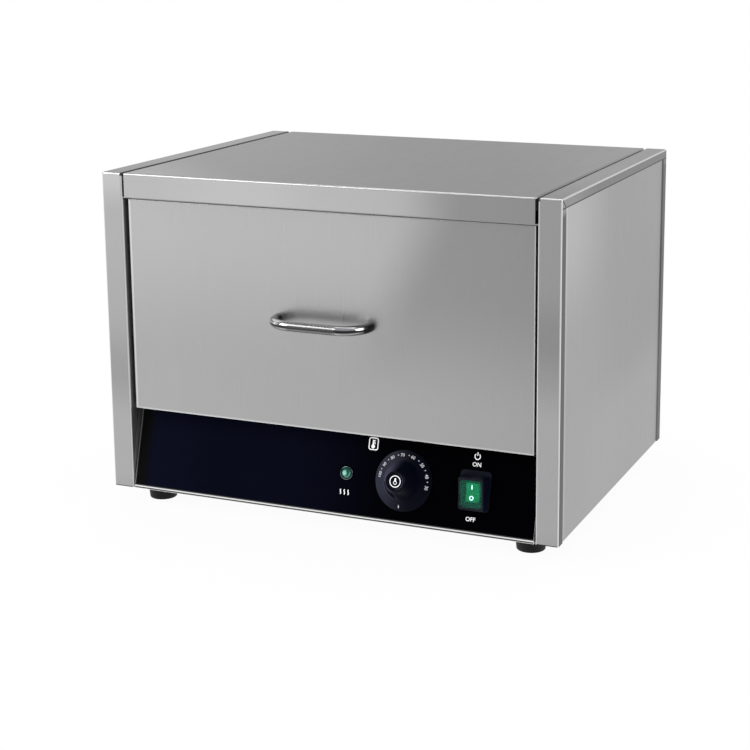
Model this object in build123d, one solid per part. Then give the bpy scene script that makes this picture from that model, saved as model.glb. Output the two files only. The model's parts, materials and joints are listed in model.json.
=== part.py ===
from build123d import *
import math
import os

os.makedirs("parts", exist_ok=True)

# A countertop drawer warmer: a stainless steel cabinet with one drawer over a pan of hot water.
# Millimetres. X runs left to right, Y from the front to the back, Z up from the table.
# The model is built with y = 0 on the cabinet's front plane, then moved so that its origin lies
# under the middle of its bounding box.

# Driving dimensions: cabinet
cabinet_width = 470.0
cabinet_depth = 356.7
cabinet_height = 319.0
sheet = 1.0
bend = 1.8
post_width = 22.3
return_front = 12.0
return_top = 9.5
mitre_gap = 0.35
mitre_share = 0.8
soft_gap = 0.3
panel_slack = 0.9
bottom_flange_gap = 0.5
cover_groove = 2.5
header_height = 23.5
cover_side_flange = 11.5
ledge_reach = 12.0
ledge_drop = 8.0
ledge_inset = 10.0
ceiling_flange = 4.0
ceiling_front_flange = 8.0
back_gap = 20.7
back_flange = 10.0
floor_flange = 8.0
base_flange = 16.0
base_joggle = 12.5
base_joint = 0.5
back_panel_margin = 3.0
side_insulation_gap = 2.3
insulation_inset = 1.0

# Driving dimensions: control panel
panel_lip = 4.0
panel_top = 79.5
panel_setback = 21.5
panel_side_gap = 1.2
panel_top_flange = 50.0
panel_bottom_flange = 20.5
overlay = 0.4
overlay_margin = 0.3
floor_lap = 6.0

# Driving dimensions: feet and screws
foot_height = 17.0
foot_top_radius = 15.2
foot_bottom_radius = 13.6
foot_round = 1.2
foot_side_inset = 37.0
foot_front_inset = 32.0
foot_screw_radius = 2.5
foot_screw_length = 17.0
foot_screw_head_radius = 4.6
foot_screw_head = 3.0
foot_recess_depth = 6.0
foot_recess_gap = 0.4
screw_radius = 2.0
screw_length = 6.0
screw_head_radius = 3.7
screw_head = 2.2
screw_fit = 0.1
screw_end_gap = 0.5
small_screw_radius = 1.5
small_screw_length = 6.0
small_head_radius = 2.8
small_head = 1.8
side_screw_inset = 40.0
back_screw_inset = 15.0
back_screw_rows = 4
back_screw_x = 100.0
lip_screw_x = 150.0
lip_screw_inset = 6.5
base_screw_first = 70.0
base_screw_pitch = 110.0
slide_hole_inset = 17.0
slide_hole_pitch = 45.0
member_hole_near = 30.0
member_hole_middle = 140.0
member_hole_far = 260.0
box_screw_inset = 7.0
box_screw_level = 22.0
short_screw = 4.0
low_head = 1.6

# Driving dimensions: drawer, handle and telescopic slides
drawer_side_gap = 3.2
drawer_recess = 4.7
drawer_front_depth = 20.0
drawer_round = 1.26
insulation_pocket = 1.0
drawer_bottom_gap = 2.5
drawer_top_gap = 2.1
front_flange = 25.0
box_length = 295.0
box_floor_lift = 8.0
box_top_drop = 30.0
floor_ledge = 25.0
tray_clearance = 0.8
tray_wall = 0.8
tray_height = 12.0
tray_hole_radius = 4.0
tray_columns = 13
tray_rows = 9
tray_margin = 24.0
drawer_travel = 280.0
handle_pitch = 96.0
handle_radius = 4.7
handle_reach = 24.7
handle_bend = 24.0
handle_height = 187.6
handle_screw_length = 11.0
slide_thickness = 12.7
slide_height = 45.7
slide_overlap = 20.0
slide_front = 28.0
slide_level = 68.0
slide_sheet = 1.2
race_gap = 3.8
ball_radius = 1.8
ball_count = 4
cage_length = 120.0
cage_start = 92.0
cage_sheet = 0.8
rail_flange = 9.5
middle_web = 3.0
middle_flange = 11.3
member_flange = 5.5
outer_cage_web = 1.7
outer_cage_flange = 8.6
outer_ball_depth = 6.2
inner_cage_web = 4.6
inner_cage_flange = 11.2
inner_ball_depth = 8.2
ball_gap = 0.1
sunk_fit = 0.05

# Driving dimensions: steam side
pan_width = 290.0
pan_depth = 190.0
pan_height = 32.0
pan_wall = 0.8
pan_rim = 10.0
pan_corner = 22.0
pan_taper = 5.0
pan_edge = 5.0
pan_hole_gap = 1.0
pan_centre_back = 200.0
element_radius = 4.25
element_hole_gap = 0.2
element_rest = 0.05
element_bend = 20.0
element_half_width = 110.0
element_leg = 20.0
element_front = 125.0
element_back = 275.0
element_end = 84.0
pin_radius = 1.8
pin_end = 74.0
pin_sink = 1.0
bracket_width = 16.0
bracket_half_span = 165.0
bracket_foot = 16.0
bracket_sheet = 1.2
bracket_near = 160.0
bracket_far = 240.0
shield_front = 91.0
shield_half_width = 155.0
shield_flange = 12.0

# Driving dimensions: dial, lamp and switch, placed on the sloping face of the control panel
dial_x = 79.5
dial_up = 38.0
dial_lift = 0.8
skirt_radius = 28.8
skirt_edge = 1.6
skirt_inner_radius = 18.0
skirt_top = 6.0
knob_face_radius = 10.2
knob_height = 24.0
knob_dish = 0.8
knob_rim = 2.0
knob_edge = 0.8
skirt_round = 0.6
skirt_step = 0.8
skirt_land = 1.4
knob_waist = 3.4
knob_waist_share = 0.52
grip_flat_from = 186.0
grip_flat_to = 254.0
grip_core_gap = 2.2
skirt_hollow_radius = 18.0
skirt_hollow = 2.4
shaft_radius = 3.0
shaft_fit = 0.08
shaft_bore_depth = 14.0
shaft_hole_radius = 5.5
thermostat_width = 44.0
thermostat_height = 34.0
thermostat_depth = 38.0
thermostat_screw_pitch = 28.0
thermostat_boss = 3.0
thermostat_ear = 5.0
thermostat_corner = 2.5
shaft_seat = 12.0
shaft_end_gap = 0.5
terminal_width = 6.3
terminal_length = 4.0
thermostat_terminal_x = 8.0
thermostat_terminal_up = -6.0
lamp_x = 19.7
lamp_up = 38.3
lamp_bezel_radius = 6.6
lamp_bezel_height = 1.8
lamp_barrel_radius = 5.5
lamp_lens_radius = 4.9
lamp_lens_height = 3.6
lamp_body_radius = 7.2
lamp_body_depth = 26.0
lamp_fit = 0.1
lamp_bezel_round = 0.9
lamp_barrel_end = -6.0
lamp_lens_end = -5.0
lamp_lens_straight = 1.2
lamp_socket = 5.2
switch_x = 150.9
switch_up = 37.4
switch_seat = 5.0
switch_rise = 0.4
boot_width = 30.4
boot_height = 37.4
boot_flange = 2.2
boot_body_width = 28.4
boot_body_height = 33.0
boot_body_drop = 1.8
boot_front_width = 24.6
boot_front_height = 31.2
boot_depth = 7.5
boot_corner = 3.5
boot_front_corner = 2.0
membrane_width = 21.9
membrane_height = 26.9
membrane_corner = 4.0
membrane_rise = 1.0
membrane_wall = 0.8
switch_width = 17.0
switch_height = 22.4
switch_depth = 24.0
switch_flange = 1.5
switch_corner = 2.5
switch_fit = 0.3
switch_lap_x = 2.0
switch_lap_up = 2.0
switch_terminal_up = 5.5
switch_terminal = 6.0
well_extra = 1.0
well_gap = 0.9
well_floor = -8.0
rocker_width = 11.0
rocker_length = 17.5
rocker_top = 5.4
rocker_valley = 1.4
rocker_bottom = -3.0
rocker_pivot = -1.0
rocker_pin_radius = 1.2
rocker_pin_fit = 0.1
rocker_pin_reach = 1.2
rocker_tilt = 10.0
rocker_draft = 1.0

# Driving dimensions: sensor, cord entry and wiring
bulb_radius = 3.0
bulb_pan_gap = 10.0
bulb_x = pan_width / 2 + pan_rim + bulb_pan_gap
bulb_front = 132.0
bulb_length = 96.0
bulb_lift = 4.6
capillary_radius = 0.8
capillary_rise = 112.0
capillary_across = 16.0
capillary_up = 9.0
capillary_lead = 16.0
clip_width = 8.0
clip_wall = 1.2
bulb_fit = 0.05
clip_near = 143.0
clip_far = 214.0
gland_x = -150.0
gland_level = 40.0
gland_cord_radius = 4.0
gland_thread_radius = 7.5
gland_flange_radius = 12.0
gland_length = 16.0
gland_flange = 4.0
gland_nut = 5.0
gland_fit = 0.1
block_width = 40.0
block_depth = 18.0
block_height = 18.0
block_x = -168.0
block_front = 300.0
pole_pitch = 10.0
pole_groove = 4.0
pole_groove_half = 3.0
wire_radius = 1.3
wire_bend = 5.0
wire_level = 10.0
wire_lead_short = 12.0
wire_lead = 14.0
wire_lead_long = 20.0
vent_length = 30.0
vent_width = 4.0
vent_pitch = 10.0
back_vent_x = 30.0
back_vent_level = 30.0
back_vent_columns = 5
back_vent_rows = 4
base_vent_x = -60.0
base_vent_front = 42.0
base_vent_columns = 4
base_vent_rows = 3

# Sizes worked out from the driving dimensions
base = foot_height
top = base + cabinet_height
half_width = cabinet_width / 2
wall_face = half_width - post_width
header_bottom = top - header_height
cover_half_width = wall_face - cover_groove
ledge_top = top - cover_side_flange
cavity_back = cabinet_depth - back_gap
floor_bottom = base + panel_top
floor_top = floor_bottom + sheet
ceiling_bottom = header_bottom - sheet
panel_half_width = wall_face - panel_side_gap
drawer_half_width = wall_face - drawer_side_gap
drawer_bottom = floor_bottom + drawer_bottom_gap
drawer_top = header_bottom - drawer_top_gap
front_back = drawer_recess + drawer_front_depth
box_half_width = wall_face - slide_thickness
box_bottom = drawer_bottom + box_floor_lift
box_top = drawer_top - box_top_drop
box_back = front_back + box_length
slide_length = drawer_travel + slide_overlap
slide_z = drawer_bottom + slide_level
pan_bottom = floor_top - pan_height
element_z = pan_bottom - soft_gap - element_radius
screw_hole = screw_radius + screw_fit
thermostat_rear = -sheet - thermostat_boss - thermostat_depth
panel_angle = math.atan2(panel_setback, panel_top - panel_lip)
panel_slope = math.hypot(panel_setback, panel_top - panel_lip)
panel_frame = Plane(
    origin=(0, 0, base + panel_lip),
    x_dir=(1, 0, 0),
    z_dir=(0, -math.cos(panel_angle), math.sin(panel_angle)),
).location


def block(x0, x1, y0, y1, z0, z1):
    """A box between two corners."""
    centre = Pos((x0 + x1) / 2, (y0 + y1) / 2, (z0 + z1) / 2)
    return centre * Box(abs(x1 - x0), abs(y1 - y0), abs(z1 - z0))


def rod(start, end, radius):
    """A cylinder from one point to another."""
    start = Vector(*start)
    axis = Vector(*end) - start
    place = Plane(origin=start, z_dir=axis.normalized()).location
    return place * Pos(0, 0, axis.length / 2) * Cylinder(radius, axis.length)


def mirrored(shape):
    """The same piece on the other side of the cabinet."""
    return mirror(shape, about=Plane.YZ)


def on_panel(x, up, out=0.0):
    """A place on the sloping panel: across, up the slope and out from its face."""
    return panel_frame * Pos(x, up, out)


def panel_point(x, up, out):
    """The same place as a point."""
    return on_panel(x, up, out).position


def at_switch(out=0.0, up=0.0):
    """A place in the upright switch: out to the front from its seat, and up from its middle."""
    middle = panel_point(switch_x, switch_up, 0) + Vector(0, -switch_seat, switch_rise)
    return Plane(origin=middle, x_dir=(1, 0, 0), z_dir=(0, -1, 0)).location * Pos(0, up, out)


def pan_screw(seat, inward, length=screw_length, radius=screw_radius,
              head_radius=screw_head_radius, head=screw_head):
    """A cross-recessed pan head screw; its head sits on the seat and its shank goes inward."""
    place = Plane(origin=seat, z_dir=(-Vector(*inward)).normalized()).location
    cap = Pos(0, 0, head / 2) * Cylinder(head_radius, head)
    rim = cap.edges().filter_by(GeomType.CIRCLE).sort_by(Axis.Z)[-1]
    cap = fillet(rim, head * 0.5)
    shank = Pos(0, 0, -length / 2) * Cylinder(radius, length)
    arm = head_radius * 1.1
    recess = Box(arm, head * 0.35, head) + Box(head * 0.35, arm, head)
    return place * (cap + shank - Pos(0, 0, head * 1.1) * recess)


def flat_screw(seat, inward, sink, length, radius=screw_radius, head_radius=screw_head_radius):
    """A countersunk screw whose head is flush with its seat."""
    place = Plane(origin=seat, z_dir=(-Vector(*inward)).normalized()).location
    head = Pos(0, 0, -sink / 2) * Cone(radius, head_radius, sink)
    shank = Pos(0, 0, -length / 2) * Cylinder(radius, length)
    return place * (head + shank)


def drill(shape, seats, direction, radius=screw_hole, reach=4.0):
    """Round holes through a sheet at each seat."""
    step = Vector(*direction).normalized() * reach
    for seat in seats:
        middle = Vector(*seat)
        shape -= rod(middle - step, middle + step, radius)
    return shape


def tube(points, radius, bends):
    """A round wire or tube along straight runs joined by arcs."""
    path = FilletPolyline(*points, radius=bends)
    section = Plane(origin=path @ 0, z_dir=path % 0) * Circle(radius)
    return sweep(section, path=path)


def save(name, shape):
    """Every piece is written in the finished frame, with its origin under the middle."""
    moved = Pos(0, -origin_y, 0) * shape
    solids = moved.solids()
    whole = solids[0] if len(solids) == 1 else Compound(children=solids)
    export_step(whole, f"parts/{name}.step")


# The bounding box reaches from the foremost of handle and dial to the cord gland at the back
dial_front = -(knob_height * math.cos(panel_angle) + knob_face_radius * math.sin(panel_angle)
               - dial_up * math.sin(panel_angle))
handle_front = drawer_recess - handle_reach - handle_radius
gland_back = cabinet_depth + sheet + gland_flange
origin_y = (min(handle_front, dial_front) + gland_back) / 2

# Screw places, shared by the sheets that they hold
side_screw_y = (side_screw_inset, cabinet_depth / 2, cabinet_depth - side_screw_inset)
post_middle = (wall_face + half_width) / 2
side_seats = [(post_middle, y, base) for y in side_screw_y]
back_rise = (cabinet_height - 2 * back_screw_inset) / (back_screw_rows - 1)
back_levels = [base + back_screw_inset + step * back_rise for step in range(back_screw_rows)]
back_seats = [(side * post_middle, cabinet_depth + sheet, z) for side in (-1, 1) for z in back_levels]
back_top_seats = [(x, cabinet_depth + sheet, top - header_height / 2)
                  for x in (-back_screw_x, back_screw_x)]
back_low_seats = [(x, cabinet_depth + sheet, base + base_flange / 2)
                  for x in (-back_screw_x, back_screw_x)]
lip_seats = [(x, panel_bottom_flange - lip_screw_inset, base)
             for x in (-lip_screw_x, 0.0, lip_screw_x)]
base_screw_stations = [base_screw_first + step * base_screw_pitch for step in range(3)]
base_seats = [(wall_face - sheet, y, base + sheet + base_flange / 2) for y in base_screw_stations]
slide_back = slide_front + slide_length
slide_seats = [(wall_face - slide_sheet, y, slide_z)
               for y in (slide_front + slide_hole_inset, slide_front + slide_hole_inset + slide_hole_pitch,
                         slide_back - slide_hole_inset - slide_hole_pitch,
                         slide_back - slide_hole_inset)]
member_hole_stations = (member_hole_near, member_hole_middle, member_hole_far)
member_seats = [(box_half_width - sheet, slide_front + y, slide_z) for y in member_hole_stations]
foot_places = [(side * (half_width - foot_side_inset), y)
               for side in (-1, 1) for y in (foot_front_inset, cabinet_depth - foot_front_inset)]
bracket_x = bracket_half_span + bracket_foot / 2
bracket_stations = (bracket_near, bracket_far)
clip_stations = (clip_near, clip_far)
bracket_seats = [(side * bracket_x, y, floor_bottom - bracket_sheet)
                 for side in (-1, 1) for y in bracket_stations]
handle_seats = [(side * handle_pitch / 2, drawer_recess + sheet, base + handle_height)
                for side in (-1, 1)]
box_seats = [(side * (drawer_half_width - front_flange + box_screw_inset), front_back + sheet, z)
             for side in (-1, 1) for z in (box_bottom + box_screw_level, box_top - box_screw_level)]
thermostat_seats = [panel_point(dial_x + side * thermostat_screw_pitch / 2, dial_up, 0)
                    for side in (-1, 1)]
panel_inward = (0, math.cos(panel_angle), -math.sin(panel_angle))


def end_frame():
    """The right end of the cabinet: a folded tray, open outward, with mitred return flanges."""
    shell = block(wall_face, half_width, 0, cabinet_depth, base, top)
    shell = fillet([e for e in shell.edges() if (e @ 0.5).Z > base + bend], bend)
    void = block(wall_face + sheet, half_width - sheet, sheet, cabinet_depth - sheet,
                 base - cabinet_height, top - sheet)
    void = fillet([e for e in void.edges() if (e @ 0.5).Z > base - cabinet_height + bend],
                  bend - sheet)
    window = block(half_width - 2 * sheet, half_width + sheet, return_front,
                   cabinet_depth - return_front, base - sheet, top - return_top)
    shell = shell - void - window
    for near, far in ((return_front, 0.0), (cabinet_depth - return_front, cabinet_depth)):
        inner = Vector(half_width, near, top - return_top)
        corner = Vector(half_width, far, top)
        run = (corner - inner) * mitre_share
        start = inner - run.normalized() * sheet
        middle = (start + inner + run) * 0.5
        slit = Plane(origin=middle, x_dir=run.normalized(), z_dir=(1, 0, 0)).location
        shell -= slit * Box(run.length + sheet, mitre_gap, 4 * sheet)
    shell += block(wall_face + sheet / 2, half_width - 2 * sheet - bottom_flange_gap, sheet / 2,
                   cabinet_depth - sheet / 2, base + sheet, base + 2 * sheet)
    shell = drill(shell, side_seats, (0, 0, 1))
    shell = drill(shell, [seat for seat in back_seats if seat[0] > 0], (0, 1, 0))
    shell = drill(shell, base_seats, (1, 0, 0))
    return drill(shell, slide_seats, (1, 0, 0))


def side_panel():
    """The right side panel: slides up behind the returns and is screwed on from below."""
    panel = block(half_width - 2 * sheet, half_width - sheet, sheet + panel_slack,
                  cabinet_depth - sheet - panel_slack, base, top - sheet - panel_slack)
    panel += block(wall_face + sheet + bottom_flange_gap, half_width - sheet, sheet + panel_slack,
                   cabinet_depth - sheet - panel_slack, base, base + sheet)
    return drill(panel, side_seats, (0, 0, 1))


def side_insulation():
    """The right slab of mineral wool, between the inner wall and the side panel."""
    return block(wall_face + sheet + side_insulation_gap, half_width - 2 * sheet - soft_gap,
                 return_front + insulation_inset,
                 cabinet_depth - return_front - insulation_inset,
                 base + 2 * sheet + screw_length, top - sheet - soft_gap - panel_slack)


def top_cover():
    """The lid of the cabinet: a tray that drops between the end frames."""
    shell = block(-cover_half_width, cover_half_width, 0, cabinet_depth, header_bottom, top)
    shell = fillet(shell.faces().sort_by(Axis.Z)[-1].edges(), bend)
    void = block(-cover_half_width + sheet, cover_half_width - sheet, sheet,
                 cabinet_depth - sheet, header_bottom - header_height, top - sheet)
    void = fillet(void.faces().sort_by(Axis.Z)[-1].edges(), bend - sheet)
    shell -= void
    for side in (-1, 1):
        shell -= block(side * (cover_half_width - 2 * sheet), side * (cover_half_width + sheet),
                       sheet, cabinet_depth - sheet, header_bottom - sheet, ledge_top)
    return drill(shell, back_top_seats, (0, 1, 0))


def top_ledge():
    """The right angle on which the side flange of the top cover rests."""
    back = cabinet_depth - ledge_inset
    angle = block(wall_face - ledge_reach, wall_face, ledge_inset, back, ledge_top - sheet, ledge_top)
    return angle + block(wall_face - sheet, wall_face, ledge_inset, back,
                         ledge_top - ledge_drop, ledge_top)


def cavity_ceiling():
    """The inner roof over the drawer, folded up behind the header and at the walls."""
    roof = block(-wall_face, wall_face, sheet, cavity_back + sheet, ceiling_bottom, header_bottom)
    roof += block(-cover_half_width + 2 * sheet, cover_half_width - 2 * sheet, sheet, 2 * sheet,
                  ceiling_bottom, header_bottom + ceiling_front_flange)
    for side in (-1, 1):
        roof += block(side * (wall_face - sheet), side * wall_face, ledge_inset,
                      cavity_back + sheet, ceiling_bottom, header_bottom + ceiling_flange)
    return roof


def ceiling_insulation():
    """Mineral wool between the inner roof and the top cover."""
    reach = wall_face - ledge_reach - insulation_inset
    return block(-reach, reach, 3 * sheet, cavity_back, header_bottom + soft_gap,
                 top - sheet - soft_gap)


def cavity_back_sheet():
    """The inner back wall behind the drawer."""
    wall = block(-wall_face, wall_face, cavity_back, cavity_back + sheet, floor_top, ceiling_bottom)
    for side in (-1, 1):
        wall += block(side * (wall_face - sheet), side * wall_face, cavity_back,
                      cavity_back + back_flange, floor_top, ceiling_bottom)
    return wall


def back_insulation():
    """Mineral wool between the inner back wall and the back panel."""
    reach = wall_face - sheet - soft_gap
    return block(-reach, reach, cavity_back + sheet + soft_gap, cabinet_depth - soft_gap,
                 floor_top, ceiling_bottom - sheet)


def back_panel():
    """The outer back, screwed to the end frames, the top cover and the base pan."""
    reach = half_width - back_panel_margin
    panel = block(-reach, reach, cabinet_depth, cabinet_depth + sheet,
                  base + back_panel_margin, top - back_panel_margin)
    panel = drill(panel, back_seats + back_top_seats + back_low_seats, (0, 1, 0))
    for column in range(back_vent_columns):
        for row in range(back_vent_rows):
            x = back_vent_x + column * (vent_length + vent_pitch)
            z = base + back_vent_level + row * vent_pitch
            slot = SlotOverall(vent_length, vent_width)
            place = Plane(origin=(x, cabinet_depth + sheet, z), x_dir=(1, 0, 0), z_dir=(0, 1, 0))
            panel -= extrude(place * slot, amount=-2 * sheet, both=True)
    gland = (gland_x, cabinet_depth, base + gland_level)
    return drill(panel, [gland], (0, 1, 0), gland_thread_radius + gland_fit)


def base_pan():
    """The bottom of the cabinet, with side and back flanges and a joggled front edge."""
    main_front = panel_bottom_flange + base_joint
    pan = block(-wall_face, wall_face, main_front, cabinet_depth, base, base + sheet)
    pan += block(-panel_half_width, panel_half_width, panel_bottom_flange - base_joggle, main_front + sheet,
                 base + sheet, base + 2 * sheet)
    for side in (-1, 1):
        pan += block(side * (wall_face - sheet), side * wall_face, main_front, cabinet_depth,
                     base, base + base_flange)
    pan += block(-wall_face, wall_face, cabinet_depth - sheet, cabinet_depth, base,
                 base + base_flange)
    for seats in (base_seats, [(-x, y, z) for x, y, z in base_seats]):
        pan = drill(pan, seats, (1, 0, 0), reach=2.0)
    pan = drill(pan, back_low_seats, (0, 1, 0))
    pan = drill(pan, lip_seats, (0, 0, 1))
    feet_holes = [(x, y, base) for x, y in foot_places]
    pan = drill(pan, feet_holes, (0, 0, 1), foot_screw_radius + screw_fit)
    for column in range(base_vent_columns):
        for row in range(base_vent_rows):
            x = base_vent_x + column * (vent_length + vent_pitch)
            y = base_vent_front + row * vent_pitch
            slot = Pos(x, y, base) * SlotOverall(vent_length, vent_width)
            pan -= extrude(slot, amount=2 * sheet, both=True)
    return pan


def control_panel():
    """The folded front below the drawer: a lip, the sloping face and a flange under the drawer."""
    slope_y = sheet / math.cos(panel_angle)
    inner_low_y = sheet
    rise = (panel_top - panel_lip)
    run_per_rise = panel_setback / rise
    inner_lip_z = panel_lip + (inner_low_y - slope_y) / run_per_rise
    inner_top_z = panel_top - sheet
    inner_top_y = (inner_top_z - panel_lip) * run_per_rise + slope_y
    outline = Polyline(
        (panel_bottom_flange, 0), (0, 0), (0, panel_lip), (panel_setback, panel_top),
        (panel_top_flange, panel_top), (panel_top_flange, inner_top_z),
        (inner_top_y, inner_top_z), (inner_low_y, inner_lip_z), (inner_low_y, sheet),
        (panel_bottom_flange, sheet), close=True,
    )
    side = Plane(origin=(-panel_half_width, 0, base), x_dir=(0, 1, 0), z_dir=(1, 0, 0))
    panel = extrude(side * make_face(outline), amount=2 * panel_half_width)
    fold = [e for e in panel.edges().filter_by(Axis.X)
            if abs((e @ 0.5).Z - base - panel_top) < 0.01 and (e @ 0.5).Y < panel_setback + sheet]
    panel = fillet(fold, sheet)
    panel = drill(panel, lip_seats, (0, 0, 1), reach=2.0)
    panel = drill(panel, [panel_point(dial_x, dial_up, 0)], panel_inward, shaft_hole_radius)
    panel = drill(panel, thermostat_seats, panel_inward, small_screw_radius + screw_fit)
    panel = drill(panel, [panel_point(lamp_x, lamp_up, 0)], panel_inward,
                  lamp_barrel_radius + lamp_fit)
    return panel - switch_hole()


def panel_overlay():
    """The glossy film on the sloping face, which carries the printed marks."""
    reach = panel_half_width - overlay_margin
    low = overlay_margin
    high = panel_slope - sheet - overlay_margin
    film = on_panel(0, (low + high) / 2, overlay / 2) * Box(2 * reach, high - low, overlay)
    film = drill(film, [panel_point(dial_x, dial_up, 0)], panel_inward, shaft_hole_radius)
    film = drill(film, thermostat_seats, panel_inward, small_head_radius + 2 * screw_fit)
    film = drill(film, [panel_point(lamp_x, lamp_up, 0)], panel_inward,
                 lamp_barrel_radius + lamp_fit)
    return film - switch_hole()


def switch_hole():
    """The opening for the switch, which runs level through the film, the panel and the collar."""
    return at_switch(-switch_depth / 2) * Box(
        switch_width + 2 * switch_fit, switch_height + 2 * switch_fit, switch_depth)


def foot():
    """A rubber foot: a flat top and a rounded, narrower bottom, recessed for its screw."""
    body = Pos(0, 0, foot_height / 2) * Cone(foot_bottom_radius, foot_top_radius, foot_height)
    body = fillet(body.edges().filter_by(GeomType.CIRCLE).sort_by(Axis.Z)[0], foot_round)
    hole = Pos(0, 0, foot_height / 2) * Cylinder(foot_screw_radius + screw_fit, foot_height)
    recess = Pos(0, 0, foot_recess_depth / 2)
    return body - hole - recess * Cylinder(foot_screw_head_radius + foot_recess_gap, foot_recess_depth)


def heat_shield():
    """A bulkhead that keeps the pan's heat from the controls."""
    shield = block(-shield_half_width, shield_half_width, shield_front, shield_front + sheet,
                   base + sheet, floor_bottom)
    shield += block(-shield_half_width, shield_half_width, shield_front,
                    shield_front + shield_flange, base + sheet, base + 2 * sheet)
    ends = [(side * element_leg, shield_front, element_z) for side in (-1, 1)]
    return drill(shield, ends, (0, 1, 0), element_radius + element_hole_gap)


def cavity_floor():
    """The floor under the drawer, cut out for the water pan."""
    deck = block(-wall_face, wall_face, panel_setback + floor_lap, cavity_back + sheet,
                 floor_bottom, floor_top)
    for side in (-1, 1):
        deck += block(side * (wall_face - sheet), side * wall_face, panel_top_flange + base_joint,
                      cavity_back + sheet, floor_bottom - floor_flange, floor_top)
    cut = RectangleRounded(pan_width + 2 * pan_hole_gap, pan_depth + 2 * pan_hole_gap, pan_corner)
    deck -= extrude(Pos(0, pan_centre_back, floor_bottom) * cut, amount=2 * sheet, both=True)
    deck = drill(deck, bracket_seats, (0, 0, 1))
    rise = (bulb_x, capillary_rise, floor_bottom)
    return drill(deck, [rise], (0, 0, 1), 2.2 * capillary_radius)


def water_pan():
    """The lift-out water pan, hung by its rim in the cavity floor."""
    outer_top = Pos(0, 0, floor_top) * RectangleRounded(pan_width, pan_depth, pan_corner)
    body = extrude(outer_top, amount=-pan_height, taper=pan_taper)
    body = fillet(body.faces().sort_by(Axis.Z)[0].edges(), pan_edge)
    inner_top = Pos(0, 0, floor_top) * RectangleRounded(
        pan_width - 2 * pan_wall, pan_depth - 2 * pan_wall, pan_corner - pan_wall)
    void = extrude(inner_top, amount=-(pan_height - pan_wall), taper=pan_taper)
    void = fillet(void.faces().sort_by(Axis.Z)[0].edges(), pan_edge - pan_wall)
    rim = extrude(Pos(0, 0, floor_top) * RectangleRounded(
        pan_width + 2 * pan_rim, pan_depth + 2 * pan_rim, pan_corner + pan_rim), amount=pan_wall)
    mouth = extrude(inner_top, amount=pan_wall)
    return Pos(0, pan_centre_back, 0) * (body + rim - void - mouth)


def steam_element():
    """The tubular heater under the water pan, with its two cold pins."""
    points = [
        (-element_leg, element_end, element_z), (-element_leg, element_front, element_z),
        (-element_half_width, element_front, element_z),
        (-element_half_width, element_back, element_z),
        (element_half_width, element_back, element_z),
        (element_half_width, element_front, element_z),
        (element_leg, element_front, element_z), (element_leg, element_end, element_z),
    ]
    heater = tube(points, element_radius, element_bend)
    for side in (-1, 1):
        heater += rod((side * element_leg, pin_end, element_z),
                      (side * element_leg, element_end + pin_sink, element_z), pin_radius)
    return heater


def element_bracket(y):
    """A strip that hangs from the cavity floor and carries the heater."""
    low = element_z - element_radius - element_rest - bracket_sheet
    near, far = y - bracket_width / 2, y + bracket_width / 2
    strip = block(-bracket_half_span, bracket_half_span, near, far, low, low + bracket_sheet)
    for side in (-1, 1):
        strip += block(side * (bracket_half_span - bracket_sheet), side * bracket_half_span,
                       near, far, low, floor_bottom)
        strip += block(side * (bracket_half_span - bracket_sheet),
                       side * (bracket_half_span + bracket_foot), near, far,
                       floor_bottom - bracket_sheet, floor_bottom)
    return drill(strip, [seat for seat in bracket_seats if seat[1] == y], (0, 0, 1))


def dial_knob():
    """The thermostat dial: a numbered skirt and a flared grip with one finger flat."""
    edge_top = dial_lift + skirt_edge
    grip_foot = (skirt_inner_radius, skirt_top + skirt_step / 2)
    grip_waist = (knob_face_radius + knob_waist, (skirt_top + knob_height) * knob_waist_share)
    grip_edge = (knob_face_radius, knob_height - knob_edge)
    profile = make_face(
        Polyline((0, dial_lift), (skirt_radius - skirt_round, dial_lift),
                 (skirt_radius, dial_lift + skirt_round), (skirt_radius, edge_top),
                 (skirt_inner_radius + skirt_land, skirt_top - skirt_step / 2), grip_foot)
        + ThreePointArc(grip_foot, grip_waist, grip_edge)
        + Polyline(grip_edge, (knob_face_radius - knob_edge, knob_height),
                   (knob_face_radius - knob_rim, knob_height),
                   (knob_face_radius - knob_rim - knob_edge, knob_height - knob_dish),
                   (0, knob_height - knob_dish), (0, dial_lift))
    )
    knob = revolve(Plane.XZ * profile, axis=Axis.Z)
    knob -= Pos(0, 0, dial_lift + skirt_hollow / 2) * Cylinder(skirt_hollow_radius, skirt_hollow)
    bore_top = dial_lift + skirt_hollow + shaft_bore_depth
    knob -= Pos(0, 0, bore_top / 2) * Cylinder(shaft_radius + shaft_fit, bore_top)
    flat_start = math.radians(grip_flat_from)
    flat_end = math.radians(grip_flat_to)
    reach = 3 * skirt_inner_radius
    sector = make_face(Polyline(
        (0, 0), (reach * math.cos(flat_start), reach * math.sin(flat_start)),
        (reach * math.cos(flat_end), reach * math.sin(flat_end)), close=True))
    wedge = extrude(Pos(0, 0, skirt_top + skirt_step / 4) * sector, amount=knob_height)
    wedge -= Pos(0, 0, knob_height / 2) * Cylinder(knob_face_radius + grip_core_gap, 3 * knob_height)
    return on_panel(dial_x, dial_up) * (knob - wedge)


def thermostat_shaft():
    """The spindle that the dial turns."""
    high = dial_lift + skirt_hollow + shaft_bore_depth - shaft_end_gap
    low = -sheet - shaft_seat
    return on_panel(dial_x, dial_up, (high + low) / 2) * Cylinder(shaft_radius, high - low)


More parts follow.
